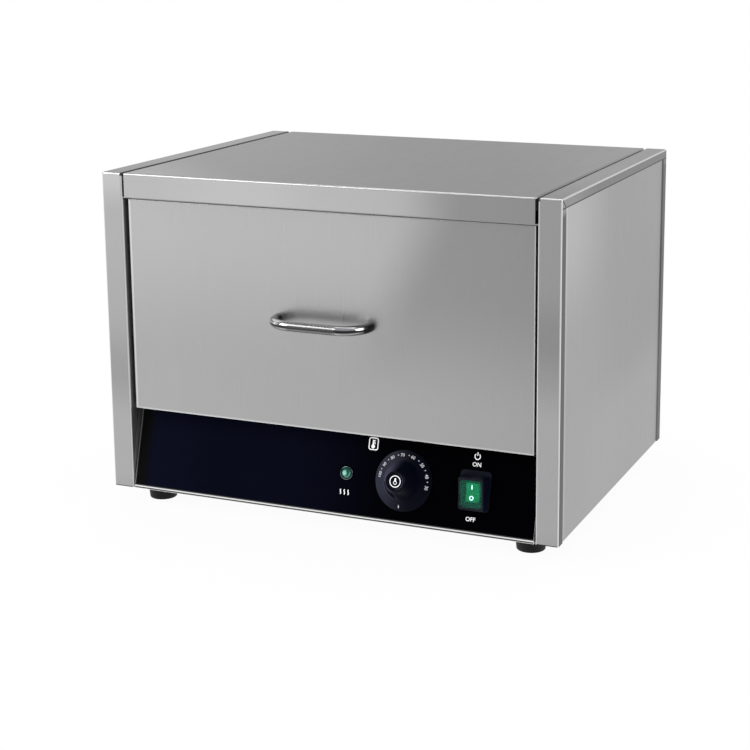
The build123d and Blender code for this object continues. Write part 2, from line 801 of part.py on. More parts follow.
def thermostat_body():
    """The capillary thermostat behind the panel, with its bushing and two terminals."""
    case = Pos(0, 0, thermostat_rear + thermostat_depth / 2) * Box(
        thermostat_width, thermostat_height, thermostat_depth)
    case = fillet(case.edges().filter_by(Axis.Z), thermostat_corner)
    case += Pos(0, 0, -sheet - thermostat_boss / 2) * Box(
        thermostat_screw_pitch + 2 * thermostat_ear, thermostat_height * 0.6,
        thermostat_boss)
    bore = shaft_seat + 2 * shaft_end_gap
    case -= Pos(0, 0, -sheet - bore / 2) * Cylinder(shaft_radius + shaft_fit, bore)
    for side in (-1, 1):
        spot = Pos(side * thermostat_terminal_x, thermostat_terminal_up,
                   thermostat_rear - terminal_length / 2)
        case += spot * Box(terminal_width, terminal_length, terminal_length)
        hole = Pos(side * thermostat_screw_pitch / 2, 0, -sheet - small_screw_length / 2)
        case -= hole * Cylinder(small_screw_radius + screw_fit, small_screw_length + 1)
    return on_panel(dial_x, dial_up) * case


def lamp_bezel():
    """The bright ring of the pilot lamp and its barrel through the panel."""
    ring = Pos(0, 0, overlay + lamp_bezel_height / 2) * Cylinder(lamp_bezel_radius,
                                                                lamp_bezel_height)
    ring = fillet(ring.edges().filter_by(GeomType.CIRCLE).sort_by(Axis.Z)[-1], lamp_bezel_round)
    ring += Pos(0, 0, (overlay + lamp_barrel_end) / 2) * Cylinder(lamp_barrel_radius,
                                                                  overlay - lamp_barrel_end)
    ring -= Cylinder(lamp_lens_radius + lamp_fit, 6 * lamp_barrel_radius)
    return on_panel(lamp_x, lamp_up) * ring


def lamp_lens():
    """The green lens, a rod with a domed end."""
    rod_top = overlay + lamp_lens_straight
    lens = Pos(0, 0, (rod_top + lamp_lens_end) / 2) * Cylinder(lamp_lens_radius,
                                                               rod_top - lamp_lens_end)
    rise = lamp_lens_height - lamp_lens_straight
    ball = (lamp_lens_radius ** 2 + rise ** 2) / (2 * rise)
    dome = Pos(0, 0, rod_top + rise - ball) * Sphere(ball)
    keep = Pos(0, 0, rod_top + rise) * Cylinder(lamp_lens_radius, 2 * rise)
    return on_panel(lamp_x, lamp_up) * (lens + (dome & keep))


def lamp_body():
    """The lamp holder behind the panel."""
    body = Pos(0, 0, -sheet - lamp_body_depth / 2) * Cylinder(lamp_body_radius, lamp_body_depth)
    body -= Pos(0, 0, -sheet - lamp_socket / 2) * Cylinder(lamp_barrel_radius + lamp_fit, lamp_socket)
    return on_panel(lamp_x, lamp_up) * body


def switch_body():
    """The housing of the rocker switch, clipped upright through the collar and the panel."""
    flange = extrude(RectangleRounded(switch_width + switch_lap_x, switch_height + switch_lap_up,
                                      switch_corner), amount=switch_flange)
    case = Pos(0, 0, -switch_depth / 2) * Box(switch_width, switch_height, switch_depth)
    well_width = rocker_width + 2 * well_gap
    well_length = rocker_length + 2 * well_gap + well_extra
    well_top = switch_flange
    well = Pos(0, 0, (well_top + well_floor) / 2) * Box(well_width, well_length,
                                                        well_top - well_floor)
    case = case + flange - well
    pin_half = rocker_width / 2 + well_gap + rocker_pin_reach + 2 * rocker_pin_fit
    hole = rod((-pin_half, 0, rocker_pivot), (pin_half, 0, rocker_pivot),
               rocker_pin_radius + rocker_pin_fit)
    case -= hole
    for up in (-switch_terminal_up, switch_terminal_up):
        tab = Pos(0, up, -switch_depth - switch_terminal / 2)
        case += tab * Box(terminal_width, switch_terminal / 2, switch_terminal)
    return at_switch() * case


def switch_rocker():
    """The lit rocker, drawn in its ON position, with its upper half pressed in."""
    half = rocker_length / 2
    slim, toe = rocker_draft, 3 * rocker_draft
    side = make_face(Polyline(
        (-half, rocker_top), (0, rocker_top - rocker_valley), (half, rocker_top),
        (half - slim, rocker_pivot), (half - toe, rocker_bottom), (-half + toe, rocker_bottom),
        (-half + slim, rocker_pivot), close=True))
    place = Plane(origin=(-rocker_width / 2, 0, 0), x_dir=(0, 1, 0), z_dir=(1, 0, 0))
    rocker = extrude(place * side, amount=rocker_width)
    pin_half = rocker_width / 2 + well_gap + rocker_pin_reach - 2 * rocker_pin_fit
    rocker += rod((-pin_half, 0, rocker_pivot), (pin_half, 0, rocker_pivot), rocker_pin_radius)
    tilt = Pos(0, 0, rocker_pivot) * Rot(-rocker_tilt, 0, 0) * Pos(0, 0, -rocker_pivot)
    return at_switch() * tilt * rocker


def switch_boot():
    """The black collar round the rocker: a wedge on the slope with an upright front."""
    collar = on_panel(switch_x, switch_up, overlay) * extrude(
        RectangleRounded(boot_width, boot_height, boot_corner), amount=boot_flange)
    foot = on_panel(switch_x, switch_up - boot_body_drop, overlay + boot_flange) * RectangleRounded(
        boot_body_width, boot_body_height, boot_corner)
    front = at_switch(boot_depth) * RectangleRounded(
        boot_front_width, boot_front_height, boot_front_corner)
    collar += loft([foot, front], ruled=True)
    void = at_switch() * extrude(RectangleRounded(
        membrane_width - 2 * membrane_wall, membrane_height - 2 * membrane_wall,
        membrane_corner - membrane_wall), amount=2 * boot_depth)
    pocket = at_switch(boot_depth - membrane_wall) * extrude(
        RectangleRounded(membrane_width, membrane_height, membrane_corner), amount=boot_depth)
    return collar - switch_hole() - void - pocket


def switch_membrane():
    """The clear green splash cover over the rocker."""
    skin = extrude(RectangleRounded(membrane_width, membrane_height, membrane_corner),
                   amount=membrane_wall + membrane_rise)
    skin = fillet(skin.faces().sort_by(Axis.Z)[-1].edges(), membrane_rise * 0.9)
    void = extrude(RectangleRounded(
        membrane_width - 3 * membrane_wall, membrane_height - 3 * membrane_wall,
        membrane_corner - membrane_wall), amount=membrane_rise)
    return at_switch(boot_depth - membrane_wall) * (skin - void)


def drawer_front():
    """The drawer front: a folded pan with inward flanges at its back."""
    shell = block(-drawer_half_width, drawer_half_width, drawer_recess, front_back,
                  drawer_bottom, drawer_top)
    shell = fillet(shell.faces().sort_by(Axis.Y)[0].edges(), drawer_round)
    shell -= block(-drawer_half_width + sheet, drawer_half_width - sheet, drawer_recess + sheet,
                   front_back - sheet, drawer_bottom + sheet, drawer_top - sheet)
    shell -= block(-drawer_half_width + front_flange, drawer_half_width - front_flange,
                   front_back - 2 * sheet, front_back + sheet, drawer_bottom + front_flange,
                   drawer_top - front_flange)
    shell = drill(shell, handle_seats, (0, 1, 0))
    return drill(shell, box_seats, (0, 1, 0))


def drawer_insulation():
    """Mineral wool inside the drawer front."""
    slab = block(-drawer_half_width + sheet + soft_gap, drawer_half_width - sheet - soft_gap,
                 drawer_recess + sheet + soft_gap, front_back - sheet - soft_gap,
                 drawer_bottom + sheet + soft_gap, drawer_top - sheet - soft_gap)
    slab = drill(slab, handle_seats, (0, 1, 0), screw_head_radius + insulation_pocket, reach=40.0)
    return drill(slab, box_seats, (0, 1, 0), screw_radius + insulation_pocket, reach=8.0)


def drawer_box():
    """The open box of the drawer: four flat walls, welded to four strips that carry the tray."""
    inner_x = box_half_width - sheet
    near, far = front_back + sheet, box_back - sheet
    ledge_x = box_half_width - floor_ledge
    ledge_near, ledge_far = front_back + floor_ledge, box_back - floor_ledge
    strip_top = box_bottom + sheet
    pieces = []
    for side, seats in ((1, member_seats), (-1, [(-x, y, z) for x, y, z in member_seats])):
        wall = block(side * inner_x, side * box_half_width, front_back, box_back, box_bottom, box_top)
        pieces.append(drill(wall, seats, (1, 0, 0), reach=2.0))
        pieces.append(block(side * ledge_x, side * inner_x, near, far, box_bottom, strip_top))
    front_wall = block(-inner_x, inner_x, front_back, near, box_bottom, box_top)
    pieces.append(drill(front_wall, box_seats, (0, 1, 0), reach=2.0))
    pieces.append(block(-inner_x, inner_x, far, box_back, box_bottom, box_top))
    pieces.append(block(-ledge_x, ledge_x, near, ledge_near, box_bottom, strip_top))
    pieces.append(block(-ledge_x, ledge_x, ledge_far, far, box_bottom, strip_top))
    return pieces


def drawer_tray():
    """The lift-out tray on which the food lies: a perforated sheet with four welded rims."""
    reach_x = box_half_width - sheet - tray_clearance
    near = front_back + sheet + tray_clearance
    far = box_back - sheet - tray_clearance
    low = box_bottom + sheet
    rim_low, rim_top = low + tray_wall, low + tray_height
    span_x = 2 * (reach_x - tray_margin) / (tray_columns - 1)
    span_y = (far - near - 2 * tray_margin) / (tray_rows - 1)
    holes = [Pos(-reach_x + tray_margin + column * span_x, near + tray_margin + row * span_y, low)
             * Cylinder(tray_hole_radius, 4 * tray_wall)
             for column in range(tray_columns) for row in range(tray_rows)]
    pieces = [block(-reach_x, reach_x, near, far, low, rim_low) - holes]
    for side in (-1, 1):
        pieces.append(block(side * (reach_x - tray_wall), side * reach_x, near, far, rim_low, rim_top))
    for start, end in ((near, near + tray_wall), (far - tray_wall, far)):
        pieces.append(block(-reach_x + tray_wall, reach_x - tray_wall, start, end, rim_low, rim_top))
    return pieces


def drawer_handle():
    """The bow handle: a round bar with two wide quarter bends."""
    level = base + handle_height
    grip = drawer_recess - handle_reach
    half = handle_pitch / 2
    bow = tube([(-half, drawer_recess, level), (-half, grip, level), (half, grip, level),
                (half, drawer_recess, level)], handle_radius, handle_bend)
    return drill(bow, [(x, drawer_recess, z) for x, y, z in handle_seats], (0, 1, 0),
                 reach=handle_screw_length - sheet + screw_end_gap)


def channel(depth_from, depth_to, web_at, reach):
    """A right-hand slide channel; depths run inward from the cabinet wall."""
    outer, inner = wall_face - depth_from, wall_face - depth_to
    web_outer, web_inner = wall_face - web_at, wall_face - web_at - slide_sheet
    rail = block(web_inner, web_outer, slide_front, slide_back, slide_z - reach, slide_z + reach)
    for side in (-1, 1):
        rail += block(inner, outer, slide_front, slide_back, slide_z + side * (reach - slide_sheet),
                      slide_z + side * reach)
    return rail


outer_reach = slide_height / 2
middle_reach = outer_reach - slide_sheet - race_gap
inner_reach = middle_reach - slide_sheet - race_gap
member_web = slide_thickness - slide_sheet


def slide_rail():
    """The outer channel, screwed flat to the right inner wall."""
    rail = channel(0, rail_flange, 0, outer_reach)
    for seat in slide_seats:
        sunk = flat_screw(seat, (1, 0, 0), slide_sheet, screw_length,
                          screw_radius + sunk_fit, screw_head_radius + sunk_fit)
        rail -= sunk
    return rail


def slide_middle():
    """The middle channel, which runs half as far as the drawer."""
    return channel(middle_web, middle_flange, middle_web, middle_reach)


def slide_member():
    """The inner channel, screwed to the right side of the drawer box."""
    member = channel(member_flange, slide_thickness, member_web, inner_reach)
    seats = [(x + sheet, y, z) for x, y, z in member_seats]
    return drill(member, seats, (1, 0, 0), reach=3.0)


def ball_cage(web_at, flange_to, ball_at, race_middle):
    """A bent strip that spaces the balls of one race, with the balls in it."""
    near = slide_front + cage_start
    far = near + cage_length
    outer, web_inner = wall_face - web_at, wall_face - web_at - cage_sheet
    reach = race_middle + cage_sheet / 2
    cage = block(web_inner, outer, near, far, slide_z - reach, slide_z + reach)
    balls = []
    for side in (-1, 1):
        level = slide_z + side * race_middle
        cage += block(wall_face - flange_to, outer, near, far, level - cage_sheet / 2,
                      level + cage_sheet / 2)
        for number in range(ball_count):
            y = near + cage_length * (number + 0.5) / ball_count
            spot = Pos(wall_face - ball_at, y, level)
            cage -= spot * Cylinder(ball_radius + ball_gap, 4 * cage_sheet)
            balls.append(spot * Sphere(ball_radius))
    return Compound(children=[cage.solid(), *[ball.solid() for ball in balls]])


def outer_cage():
    """The cage between the outer and the middle channel, on the right."""
    return ball_cage(outer_cage_web, outer_cage_flange, outer_ball_depth,
                     (outer_reach - slide_sheet + middle_reach) / 2)


def inner_cage():
    """The cage between the middle and the inner channel, on the right."""
    return ball_cage(inner_cage_web, inner_cage_flange, inner_ball_depth,
                     (middle_reach - slide_sheet + inner_reach) / 2)


def cord_gland():
    """The cord entry in the back panel: a threaded body with a bore for the cord."""
    z = base + gland_level
    outside = cabinet_depth + sheet
    body = rod((gland_x, outside, z), (gland_x, outside + gland_flange, z), gland_flange_radius)
    body += rod((gland_x, outside + gland_flange - gland_length, z),
                (gland_x, outside + gland_flange, z), gland_thread_radius)
    return body - rod((gland_x, outside - 3 * gland_length, z),
                      (gland_x, outside + gland_length, z), gland_cord_radius)


def gland_lock_nut():
    """The hexagonal nut of the gland, inside the back panel."""
    z = base + gland_level
    place = Plane(origin=(gland_x, cabinet_depth, z), x_dir=(1, 0, 0), z_dir=(0, -1, 0))
    nut = extrude(place * RegularPolygon(gland_flange_radius, 6), amount=gland_nut)
    return nut - rod((gland_x, cabinet_depth - 3 * gland_nut, z),
                     (gland_x, cabinet_depth + sheet, z), gland_thread_radius + gland_fit)


def terminal_block():
    """The ceramic block that joins the cord to the wiring, with a groove over each pole."""
    near, far = block_front, block_front + block_depth
    body = block(block_x - block_width / 2, block_x + block_width / 2, near, far,
                 base + sheet, base + sheet + block_height)
    for pole in (-1, 0, 1):
        x = block_x + pole * pole_pitch
        body -= block(x - pole_groove_half, x + pole_groove_half, near - sheet, far + sheet,
                      base + sheet + block_height - pole_groove, base + 2 * block_height)
    return body


def sensor_bulb():
    """The thermostat's capillary tube and its sensing bulb beside the water pan."""
    bulb_z = floor_top + bulb_lift
    start = panel_point(dial_x + capillary_across, dial_up + capillary_up, thermostat_rear)
    behind = start + Vector(*panel_inward) * capillary_lead
    points = [start, behind, (bulb_x, behind.Y, behind.Z), (bulb_x, capillary_rise, behind.Z),
              (bulb_x, capillary_rise, bulb_z), (bulb_x, bulb_front, bulb_z)]
    line = tube(points, capillary_radius, wire_bend)
    bulb = rod((bulb_x, bulb_front, bulb_z), (bulb_x, bulb_front + bulb_length, bulb_z), bulb_radius)
    return line + bulb


def bulb_clip(y):
    """A spring clip on the cavity floor that holds the bulb."""
    bulb_z = floor_top + bulb_lift
    reach = bulb_radius + clip_wall
    clip = block(bulb_x - reach, bulb_x + reach, y - clip_width / 2, y + clip_width / 2,
                 floor_top, bulb_z + bulb_radius * 0.5)
    return clip - rod((bulb_x, y - clip_width, bulb_z), (bulb_x, y + clip_width, bulb_z),
                      bulb_radius + bulb_fit)


def wiring():
    """Five leads between the block, the switch, the thermostat, the heater and the lamp."""
    low = base + wire_level
    inward = Vector(*panel_inward)
    switch_rear = -switch_depth - switch_terminal
    switch_low = at_switch(switch_rear, -switch_terminal_up).position
    switch_high = at_switch(switch_rear, switch_terminal_up).position
    stat_rear = thermostat_rear - terminal_length
    stat_up = dial_up + thermostat_terminal_up
    stat_left = panel_point(dial_x - thermostat_terminal_x, stat_up, stat_rear)
    stat_right = panel_point(dial_x + thermostat_terminal_x, stat_up, stat_rear)
    lamp_rear = panel_point(lamp_x, lamp_up, -sheet - lamp_body_depth)
    pole = [block_x + step * pole_pitch for step in (-1, 0, 1)]
    pin_lane = pin_end - wire_lead
    routes = []
    turn = switch_low + Vector(0, wire_lead_long, 0)
    routes.append([switch_low, turn, (switch_x, turn.Y, low), (pole[1], turn.Y, low),
                   (pole[1], block_front, low)])
    routes.append([(-element_leg, pin_end, element_z), (-element_leg, pin_lane, element_z),
                   (-element_leg, pin_lane, low), (pole[2], pin_lane, low),
                   (pole[2], block_front, low)])
    turn = lamp_rear + inward * wire_lead_short
    routes.append([lamp_rear, turn, (lamp_x, turn.Y, low), (pole[0], turn.Y, low),
                   (pole[0], block_front, low)])
    leave = switch_high + Vector(0, wire_lead_short, 0)
    arrive = stat_right + inward * wire_lead
    routes.append([switch_high, leave, arrive, stat_right])
    turn = stat_left + inward * wire_lead
    routes.append([stat_left, turn, (element_leg, pin_lane, element_z),
                   (element_leg, pin_end, element_z)])
    return [tube(route, wire_radius, wire_bend) for route in routes]


def screws_on_both_sides(seats, inward, make):
    """The same row of screws on the right and, mirrored, on the left."""
    right = [make(seat, inward) for seat in seats]
    return right + [mirrored(screw) for screw in right]


def case_screws():
    """All screws of the outer panels."""
    back = back_seats + back_top_seats + back_low_seats
    screws = screws_on_both_sides(side_seats, (0, 0, 1), pan_screw)
    screws += [pan_screw(seat, (0, -1, 0)) for seat in back]
    screws += [pan_screw(seat, (0, 0, 1)) for seat in lip_seats]
    return screws


def frame_screws():
    """The screws that hold the base pan and the slides to the inner walls."""
    def slide_screw(seat, inward):
        return flat_screw(seat, inward, slide_sheet, short_screw)

    def base_screw(seat, inward):
        return pan_screw(seat, inward, length=short_screw)

    screws = screws_on_both_sides(slide_seats, (1, 0, 0), slide_screw)
    return screws + screws_on_both_sides(base_seats, (1, 0, 0), base_screw)


def drawer_screws():
    """The screws that hold the drawer box to its slides and to its front."""
    def member_screw(seat, inward):
        return pan_screw(seat, inward, length=short_screw - ball_gap, head=low_head)

    def front_screw(seat):
        return pan_screw(seat, (0, -1, 0), length=short_screw + sheet, head=low_head)

    screws = screws_on_both_sides(member_seats, (1, 0, 0), member_screw)
    return screws + [front_screw(seat) for seat in box_seats]


def group(pieces):
    """Several loose solids of one kind as one sub-part."""
    return Compound(children=[solid for piece in pieces for solid in piece.solids()])


pairs = {
    "end_frame": end_frame(), "side_panel": side_panel(), "slide_rail": slide_rail(),
    "slide_middle": slide_middle(), "slide_member": slide_member(),
    "outer_ball_cage": outer_cage(), "inner_ball_cage": inner_cage(),
}
for name, right in pairs.items():
    save(f"{name}_right", right)
    save(f"{name}_left", mirrored(right))

singles = {
    "top_cover": top_cover(), "cavity_ceiling": cavity_ceiling(),
    "ceiling_insulation": ceiling_insulation(), "cavity_back": cavity_back_sheet(),
    "back_insulation": back_insulation(), "back_panel": back_panel(), "base_pan": base_pan(),
    "control_panel": control_panel(), "panel_overlay": panel_overlay(),
    "heat_shield": heat_shield(), "cavity_floor": cavity_floor(), "water_pan": water_pan(),
    "steam_element": steam_element(), "dial_knob": dial_knob(),
    "thermostat_shaft": thermostat_shaft(), "thermostat_body": thermostat_body(),
    "lamp_bezel": lamp_bezel(), "lamp_lens": lamp_lens(), "lamp_body": lamp_body(),
    "switch_body": switch_body(), "switch_rocker": switch_rocker(),
    "switch_boot": switch_boot(), "switch_membrane": switch_membrane(),
    "drawer_front": drawer_front(), "drawer_insulation": drawer_insulation(),
    "drawer_handle": drawer_handle(),
    "cord_gland": cord_gland(), "gland_lock_nut": gland_lock_nut(),
    "terminal_block": terminal_block(), "sensor_bulb": sensor_bulb(),
}
for name, piece in singles.items():
    save(name, piece)

groups = {
    "side_insulation": [side_insulation(), mirrored(side_insulation())],
    "top_ledges": [top_ledge(), mirrored(top_ledge())],
    "feet": [Pos(x, y, 0) * foot() for x, y in foot_places],
    "foot_screws": [pan_screw((x, y, foot_recess_depth), (0, 0, 1), foot_screw_length,
                              foot_screw_radius, foot_screw_head_radius, foot_screw_head)
                    for x, y in foot_places],
    "element_brackets": [element_bracket(y) for y in bracket_stations],
    "element_screws": [pan_screw(seat, (0, 0, 1), length=short_screw) for seat in bracket_seats],
    "bulb_clips": [bulb_clip(y) for y in clip_stations],
    "thermostat_screws": [pan_screw(seat, panel_inward, small_screw_length, small_screw_radius,
                                    small_head_radius, small_head) for seat in thermostat_seats],
    "handle_screws": [pan_screw(seat, (0, -1, 0), handle_screw_length) for seat in handle_seats],
    "drawer_box": drawer_box(), "drawer_tray": drawer_tray(),
    "case_screws": case_screws(), "frame_screws": frame_screws(),
    "drawer_screws": drawer_screws(), "wiring": wiring(),
}
for name, pieces in groups.items():
    save(name, group(pieces))
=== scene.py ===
# %% [markdown]
# # A steam drawer warmer, dressed in Blender
#
# The object is a countertop cabinet of folded stainless steel: one drawer with a bow handle, a sloping
# black control panel with a dial, a lamp and a rocker switch, and four rubber feet. Its shape comes from
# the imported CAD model, which is loaded as a fixed frame. This script gives every piece its finish, adds
# the printed marks and the mineral wool, and sets up the light and the camera.

import json
import math

import bmesh
import bpy
from mathutils import Matrix, Vector, noise


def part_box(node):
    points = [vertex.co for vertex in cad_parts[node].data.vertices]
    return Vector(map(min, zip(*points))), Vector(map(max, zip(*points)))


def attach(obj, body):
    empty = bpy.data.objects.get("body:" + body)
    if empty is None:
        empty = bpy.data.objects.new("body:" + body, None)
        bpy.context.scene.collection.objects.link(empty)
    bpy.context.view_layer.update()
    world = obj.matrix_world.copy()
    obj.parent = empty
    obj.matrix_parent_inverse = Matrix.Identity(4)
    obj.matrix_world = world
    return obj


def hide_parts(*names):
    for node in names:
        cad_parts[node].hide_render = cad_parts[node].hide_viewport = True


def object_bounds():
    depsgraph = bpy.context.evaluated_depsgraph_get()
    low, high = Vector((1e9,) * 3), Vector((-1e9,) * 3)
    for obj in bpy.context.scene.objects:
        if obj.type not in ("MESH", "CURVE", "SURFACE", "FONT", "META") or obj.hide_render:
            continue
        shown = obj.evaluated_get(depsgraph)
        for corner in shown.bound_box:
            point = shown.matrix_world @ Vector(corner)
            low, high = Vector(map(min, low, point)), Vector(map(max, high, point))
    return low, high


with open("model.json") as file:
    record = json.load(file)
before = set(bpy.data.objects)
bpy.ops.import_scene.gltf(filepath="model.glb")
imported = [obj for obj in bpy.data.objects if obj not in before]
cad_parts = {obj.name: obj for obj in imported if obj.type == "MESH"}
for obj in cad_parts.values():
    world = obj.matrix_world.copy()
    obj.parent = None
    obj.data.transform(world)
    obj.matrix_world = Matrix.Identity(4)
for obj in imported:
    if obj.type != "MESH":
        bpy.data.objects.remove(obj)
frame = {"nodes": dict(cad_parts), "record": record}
nodes = frame["nodes"]
cad_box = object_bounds()
print(len(nodes), "nodes from the frame, box", cad_box)

# %% [markdown]
# ## Sizes that are used again
#
# The marks and the dial's print lie on the sloping panel, so they need its place and its slope. The
# steel's painted shade and painted shadow lines need the seams beside the lid and the returns of the end
# frames. The numbers below are those of the CAD model, in metres. One function turns a place on the
# panel, given as across, up the slope and out from the metal, into a point of the frame. A second does so
# for the upright switch.

# %% Panel sizes
PANEL_FOOT_Z = 0.021
PANEL_FOOT_Y = -0.1685
PANEL_SLOPE = math.atan2(21.5, 75.5)
FILM = 0.0004
DIAL_AT = (0.0795, 0.038)
LAMP_AT = (0.0197, 0.0383)
SWITCH_AT = (0.1509, 0.0374)
SWITCH_SEAT = 0.005
SWITCH_RISE = 0.0004
SEAM_X = 0.2128
CASE_TOP_Z = cad_box[1][2]
MITRE_SLOPE = 9.5 / 12.0
RETURN_Z = 0.3265
FOOT_LINE_Z = 0.0179


def panel_point(across, up, out):
    """A point of the frame from a place on the control panel."""
    y = PANEL_FOOT_Y + up * math.sin(PANEL_SLOPE) - out * math.cos(PANEL_SLOPE)
    z = PANEL_FOOT_Z + up * math.cos(PANEL_SLOPE) + out * math.sin(PANEL_SLOPE)
    return Vector((across, y, z))


def switch_point(across, high, out):
    """A point of the frame from a place in the upright switch."""
    middle = panel_point(*SWITCH_AT, 0)
    return middle + Vector((across, -SWITCH_SEAT - out, SWITCH_RISE + high))


def add_object(name, data):
    """A new object, linked to the scene."""
    made = bpy.data.objects.new(name, data)
    bpy.context.scene.collection.objects.link(made)
    return made


print("middle of the dial", tuple(round(v, 4) for v in panel_point(*DIAL_AT, FILM)))

# %% [markdown]
# ## Camera
#
# The photograph was taken from the right and a little above, with a long lens. The camera stands where a
# pinhole fit of the cabinet's corners puts it. Its three axes are built from the view's azimuth,
# elevation and roll, and a small shift frames the cabinet as in the photograph.

# %% Camera
CAMERA_PLACE = Vector((0.6760, -1.5327, 0.5686))
CAMERA_AZIMUTH = math.radians(22.62)
CAMERA_ELEVATION = math.radians(11.53)
CAMERA_ROLL = math.radians(-0.26)

back = Vector((math.sin(CAMERA_AZIMUTH) * math.cos(CAMERA_ELEVATION),
               -math.cos(CAMERA_AZIMUTH) * math.cos(CAMERA_ELEVATION),
               math.sin(CAMERA_ELEVATION)))
level_right = Vector((0, 0, 1)).cross(back).normalized()
level_up = back.cross(level_right)
right = level_right * math.cos(CAMERA_ROLL) + level_up * math.sin(CAMERA_ROLL)
up = level_up * math.cos(CAMERA_ROLL) - level_right * math.sin(CAMERA_ROLL)
camera_data = bpy.data.cameras.new("camera")
camera_data.lens = 80.136
camera_data.sensor_width = 36.0
camera_data.shift_x = -0.0693
camera_data.shift_y = -0.1444
camera = add_object("camera", camera_data)
turn = Matrix((right, up, back)).transposed().to_4x4()
camera.matrix_world = Matrix.Translation(CAMERA_PLACE) @ turn
bpy.context.scene.camera = camera
print("camera at", tuple(CAMERA_PLACE), "lens", camera_data.lens)

# %% [markdown]
# ## Node helpers
#
# Every finish is built from a few steps: a texture space on Object coordinates, noise stretched along a
# direction, a ramp, and a bump. Small helpers keep each material short to read. Values that are the same
# all over a surface are set on the shader's own sockets.

# %% Helpers for materials


def shader_of(material):
    """The principled shader of a material."""
    return next(n for n in material.node_tree.nodes if n.type == "BSDF_PRINCIPLED")


def new_material(name, colour, roughness, metallic=0.0):
    """A material with a principled shader, and its tree and shader."""
    material = bpy.data.materials.new(name)
    material.use_nodes = True
    tree = material.node_tree
    shader = shader_of(material)
    shader.inputs["Base Color"].default_value = (*colour, 1.0)
    shader.inputs["Roughness"].default_value = roughness
    shader.inputs["Metallic"].default_value = metallic
    material.diffuse_color = (*colour, 1.0)
    return material, tree, shader


def node(tree, kind, **values):
    """One node, with its properties and input values set by name."""
    made = tree.nodes.new(kind)
    for key, value in values.items():
        if hasattr(made, key):
            setattr(made, key, value)
        else:
            made.inputs[key.replace("_", " ").title()].default_value = value
    return made


def place_of(tree, stretch=(1, 1, 1), shift=(0, 0, 0)):
    """Object coordinates, stretched."""
    coordinates = node(tree, "ShaderNodeTexCoord")
    mapping = node(tree, "ShaderNodeMapping", Scale=stretch, Location=shift)
    tree.links.new(coordinates.outputs["Object"], mapping.inputs["Vector"])
    return mapping.outputs["Vector"]


def noise_of(tree, vector, scale, detail=3.0, roughness=0.5):
    """A noise value between 0 and 1."""
    made = node(tree, "ShaderNodeTexNoise", Scale=scale, Detail=detail, Roughness=roughness)
    tree.links.new(vector, made.inputs["Vector"])
    return made.outputs["Fac"]


def ramp_of(tree, value, stops):
    """A colour ramp. Each stop is a place and a colour or a grey."""
    made = node(tree, "ShaderNodeValToRGB")
    band = made.color_ramp
    while len(band.elements) < len(stops):
        band.elements.new(0.5)
    for element, (place, colour) in zip(band.elements, stops):
        element.position = place
        element.color = (colour, colour, colour, 1) if isinstance(colour, float) else (*colour, 1)
    tree.links.new(value, made.inputs["Fac"])
    return made.outputs["Color"]


def mix_of(tree, share, first, second, kind="MIX"):
    """Two colours mixed. A share or a colour may be a value or a socket."""
    made = node(tree, "ShaderNodeMix", data_type="RGBA", blend_type=kind)
    for socket, value in ((made.inputs[0], share), (made.inputs[6], first), (made.inputs[7], second)):
        if isinstance(value, (int, float)):
            socket.default_value = value
        elif isinstance(value, tuple):
            socket.default_value = (*value, 1.0)
        else:
            tree.links.new(value, socket)
    return made.outputs[2]


def stained(tree, base, value, low, tone, high):
    """A base colour that is darkened to tone where a value is low."""
    return mix_of(tree, 1.0, base, ramp_of(tree, value, [(low, tone), (high, 1.0)]), "MULTIPLY")


def mix_shaders(tree, share, first, second):
    """Two shaders mixed by a socket."""
    made = node(tree, "ShaderNodeMixShader")
    for socket, value in zip(made.inputs, (share, first, second)):
        tree.links.new(value, socket)
    return made.outputs[0]


def math_of(tree, operation, first, second=None, third=None):
    """One sum on values or sockets."""
    made = node(tree, "ShaderNodeMath", operation=operation)
    for socket, value in zip(made.inputs, (first, second, third)):
        if value is None:
            continue
        if isinstance(value, (int, float)):
            socket.default_value = value
        else:
            tree.links.new(value, socket)
    return made.outputs[0]


def times(tree, first, second):
    """first times second."""
    return math_of(tree, "MULTIPLY", first, second)


def plus(tree, first, second):
    """The sum of two."""
    return math_of(tree, "ADD", first, second)


def minus(tree, first, second):
    """first less second."""
    return math_of(tree, "SUBTRACT", first, second)


def smooth_of(tree, value, low, high, out_low=0.0, out_high=1.0):
    """A smooth step from low to high."""
    made = node(tree, "ShaderNodeMapRange", interpolation_type="SMOOTHSTEP")
    for key, number in (("From Min", low), ("From Max", high), ("To Min", out_low), ("To Max", out_high)):
        made.inputs[key].default_value = number
    tree.links.new(value, made.inputs["Value"])
    return made.outputs["Result"]


def band_of(tree, value, low, low_full, high_full, high):
    """One from low_full to high_full, with smooth steps to zero at low and at high."""
    rise = smooth_of(tree, value, low, low_full)
    return times(tree, rise, smooth_of(tree, value, high, high_full))


def distance_of(tree, first, second):
    """The distance that two parts at a right angle make."""
    squares = [times(tree, part, part) for part in (first, second)]
    return math_of(tree, "SQRT", plus(tree, *squares))


def bump_of(tree, shader, height, strength, distance):
    """Relief on the shader's normal."""
    made = node(tree, "ShaderNodeBump", Strength=strength, Distance=distance)
    tree.links.new(height, made.inputs["Height"])
    tree.links.new(made.outputs["Normal"], shader.inputs["Normal"])


def axes_of(tree, which="Object"):
    """The three parts of the Object coordinate or of the piece's own Normal."""
    coordinates = node(tree, "ShaderNodeTexCoord")
    parts = node(tree, "ShaderNodeSeparateXYZ")
    tree.links.new(coordinates.outputs[which], parts.inputs["Vector"])
    return parts.outputs


print("material helpers ready")
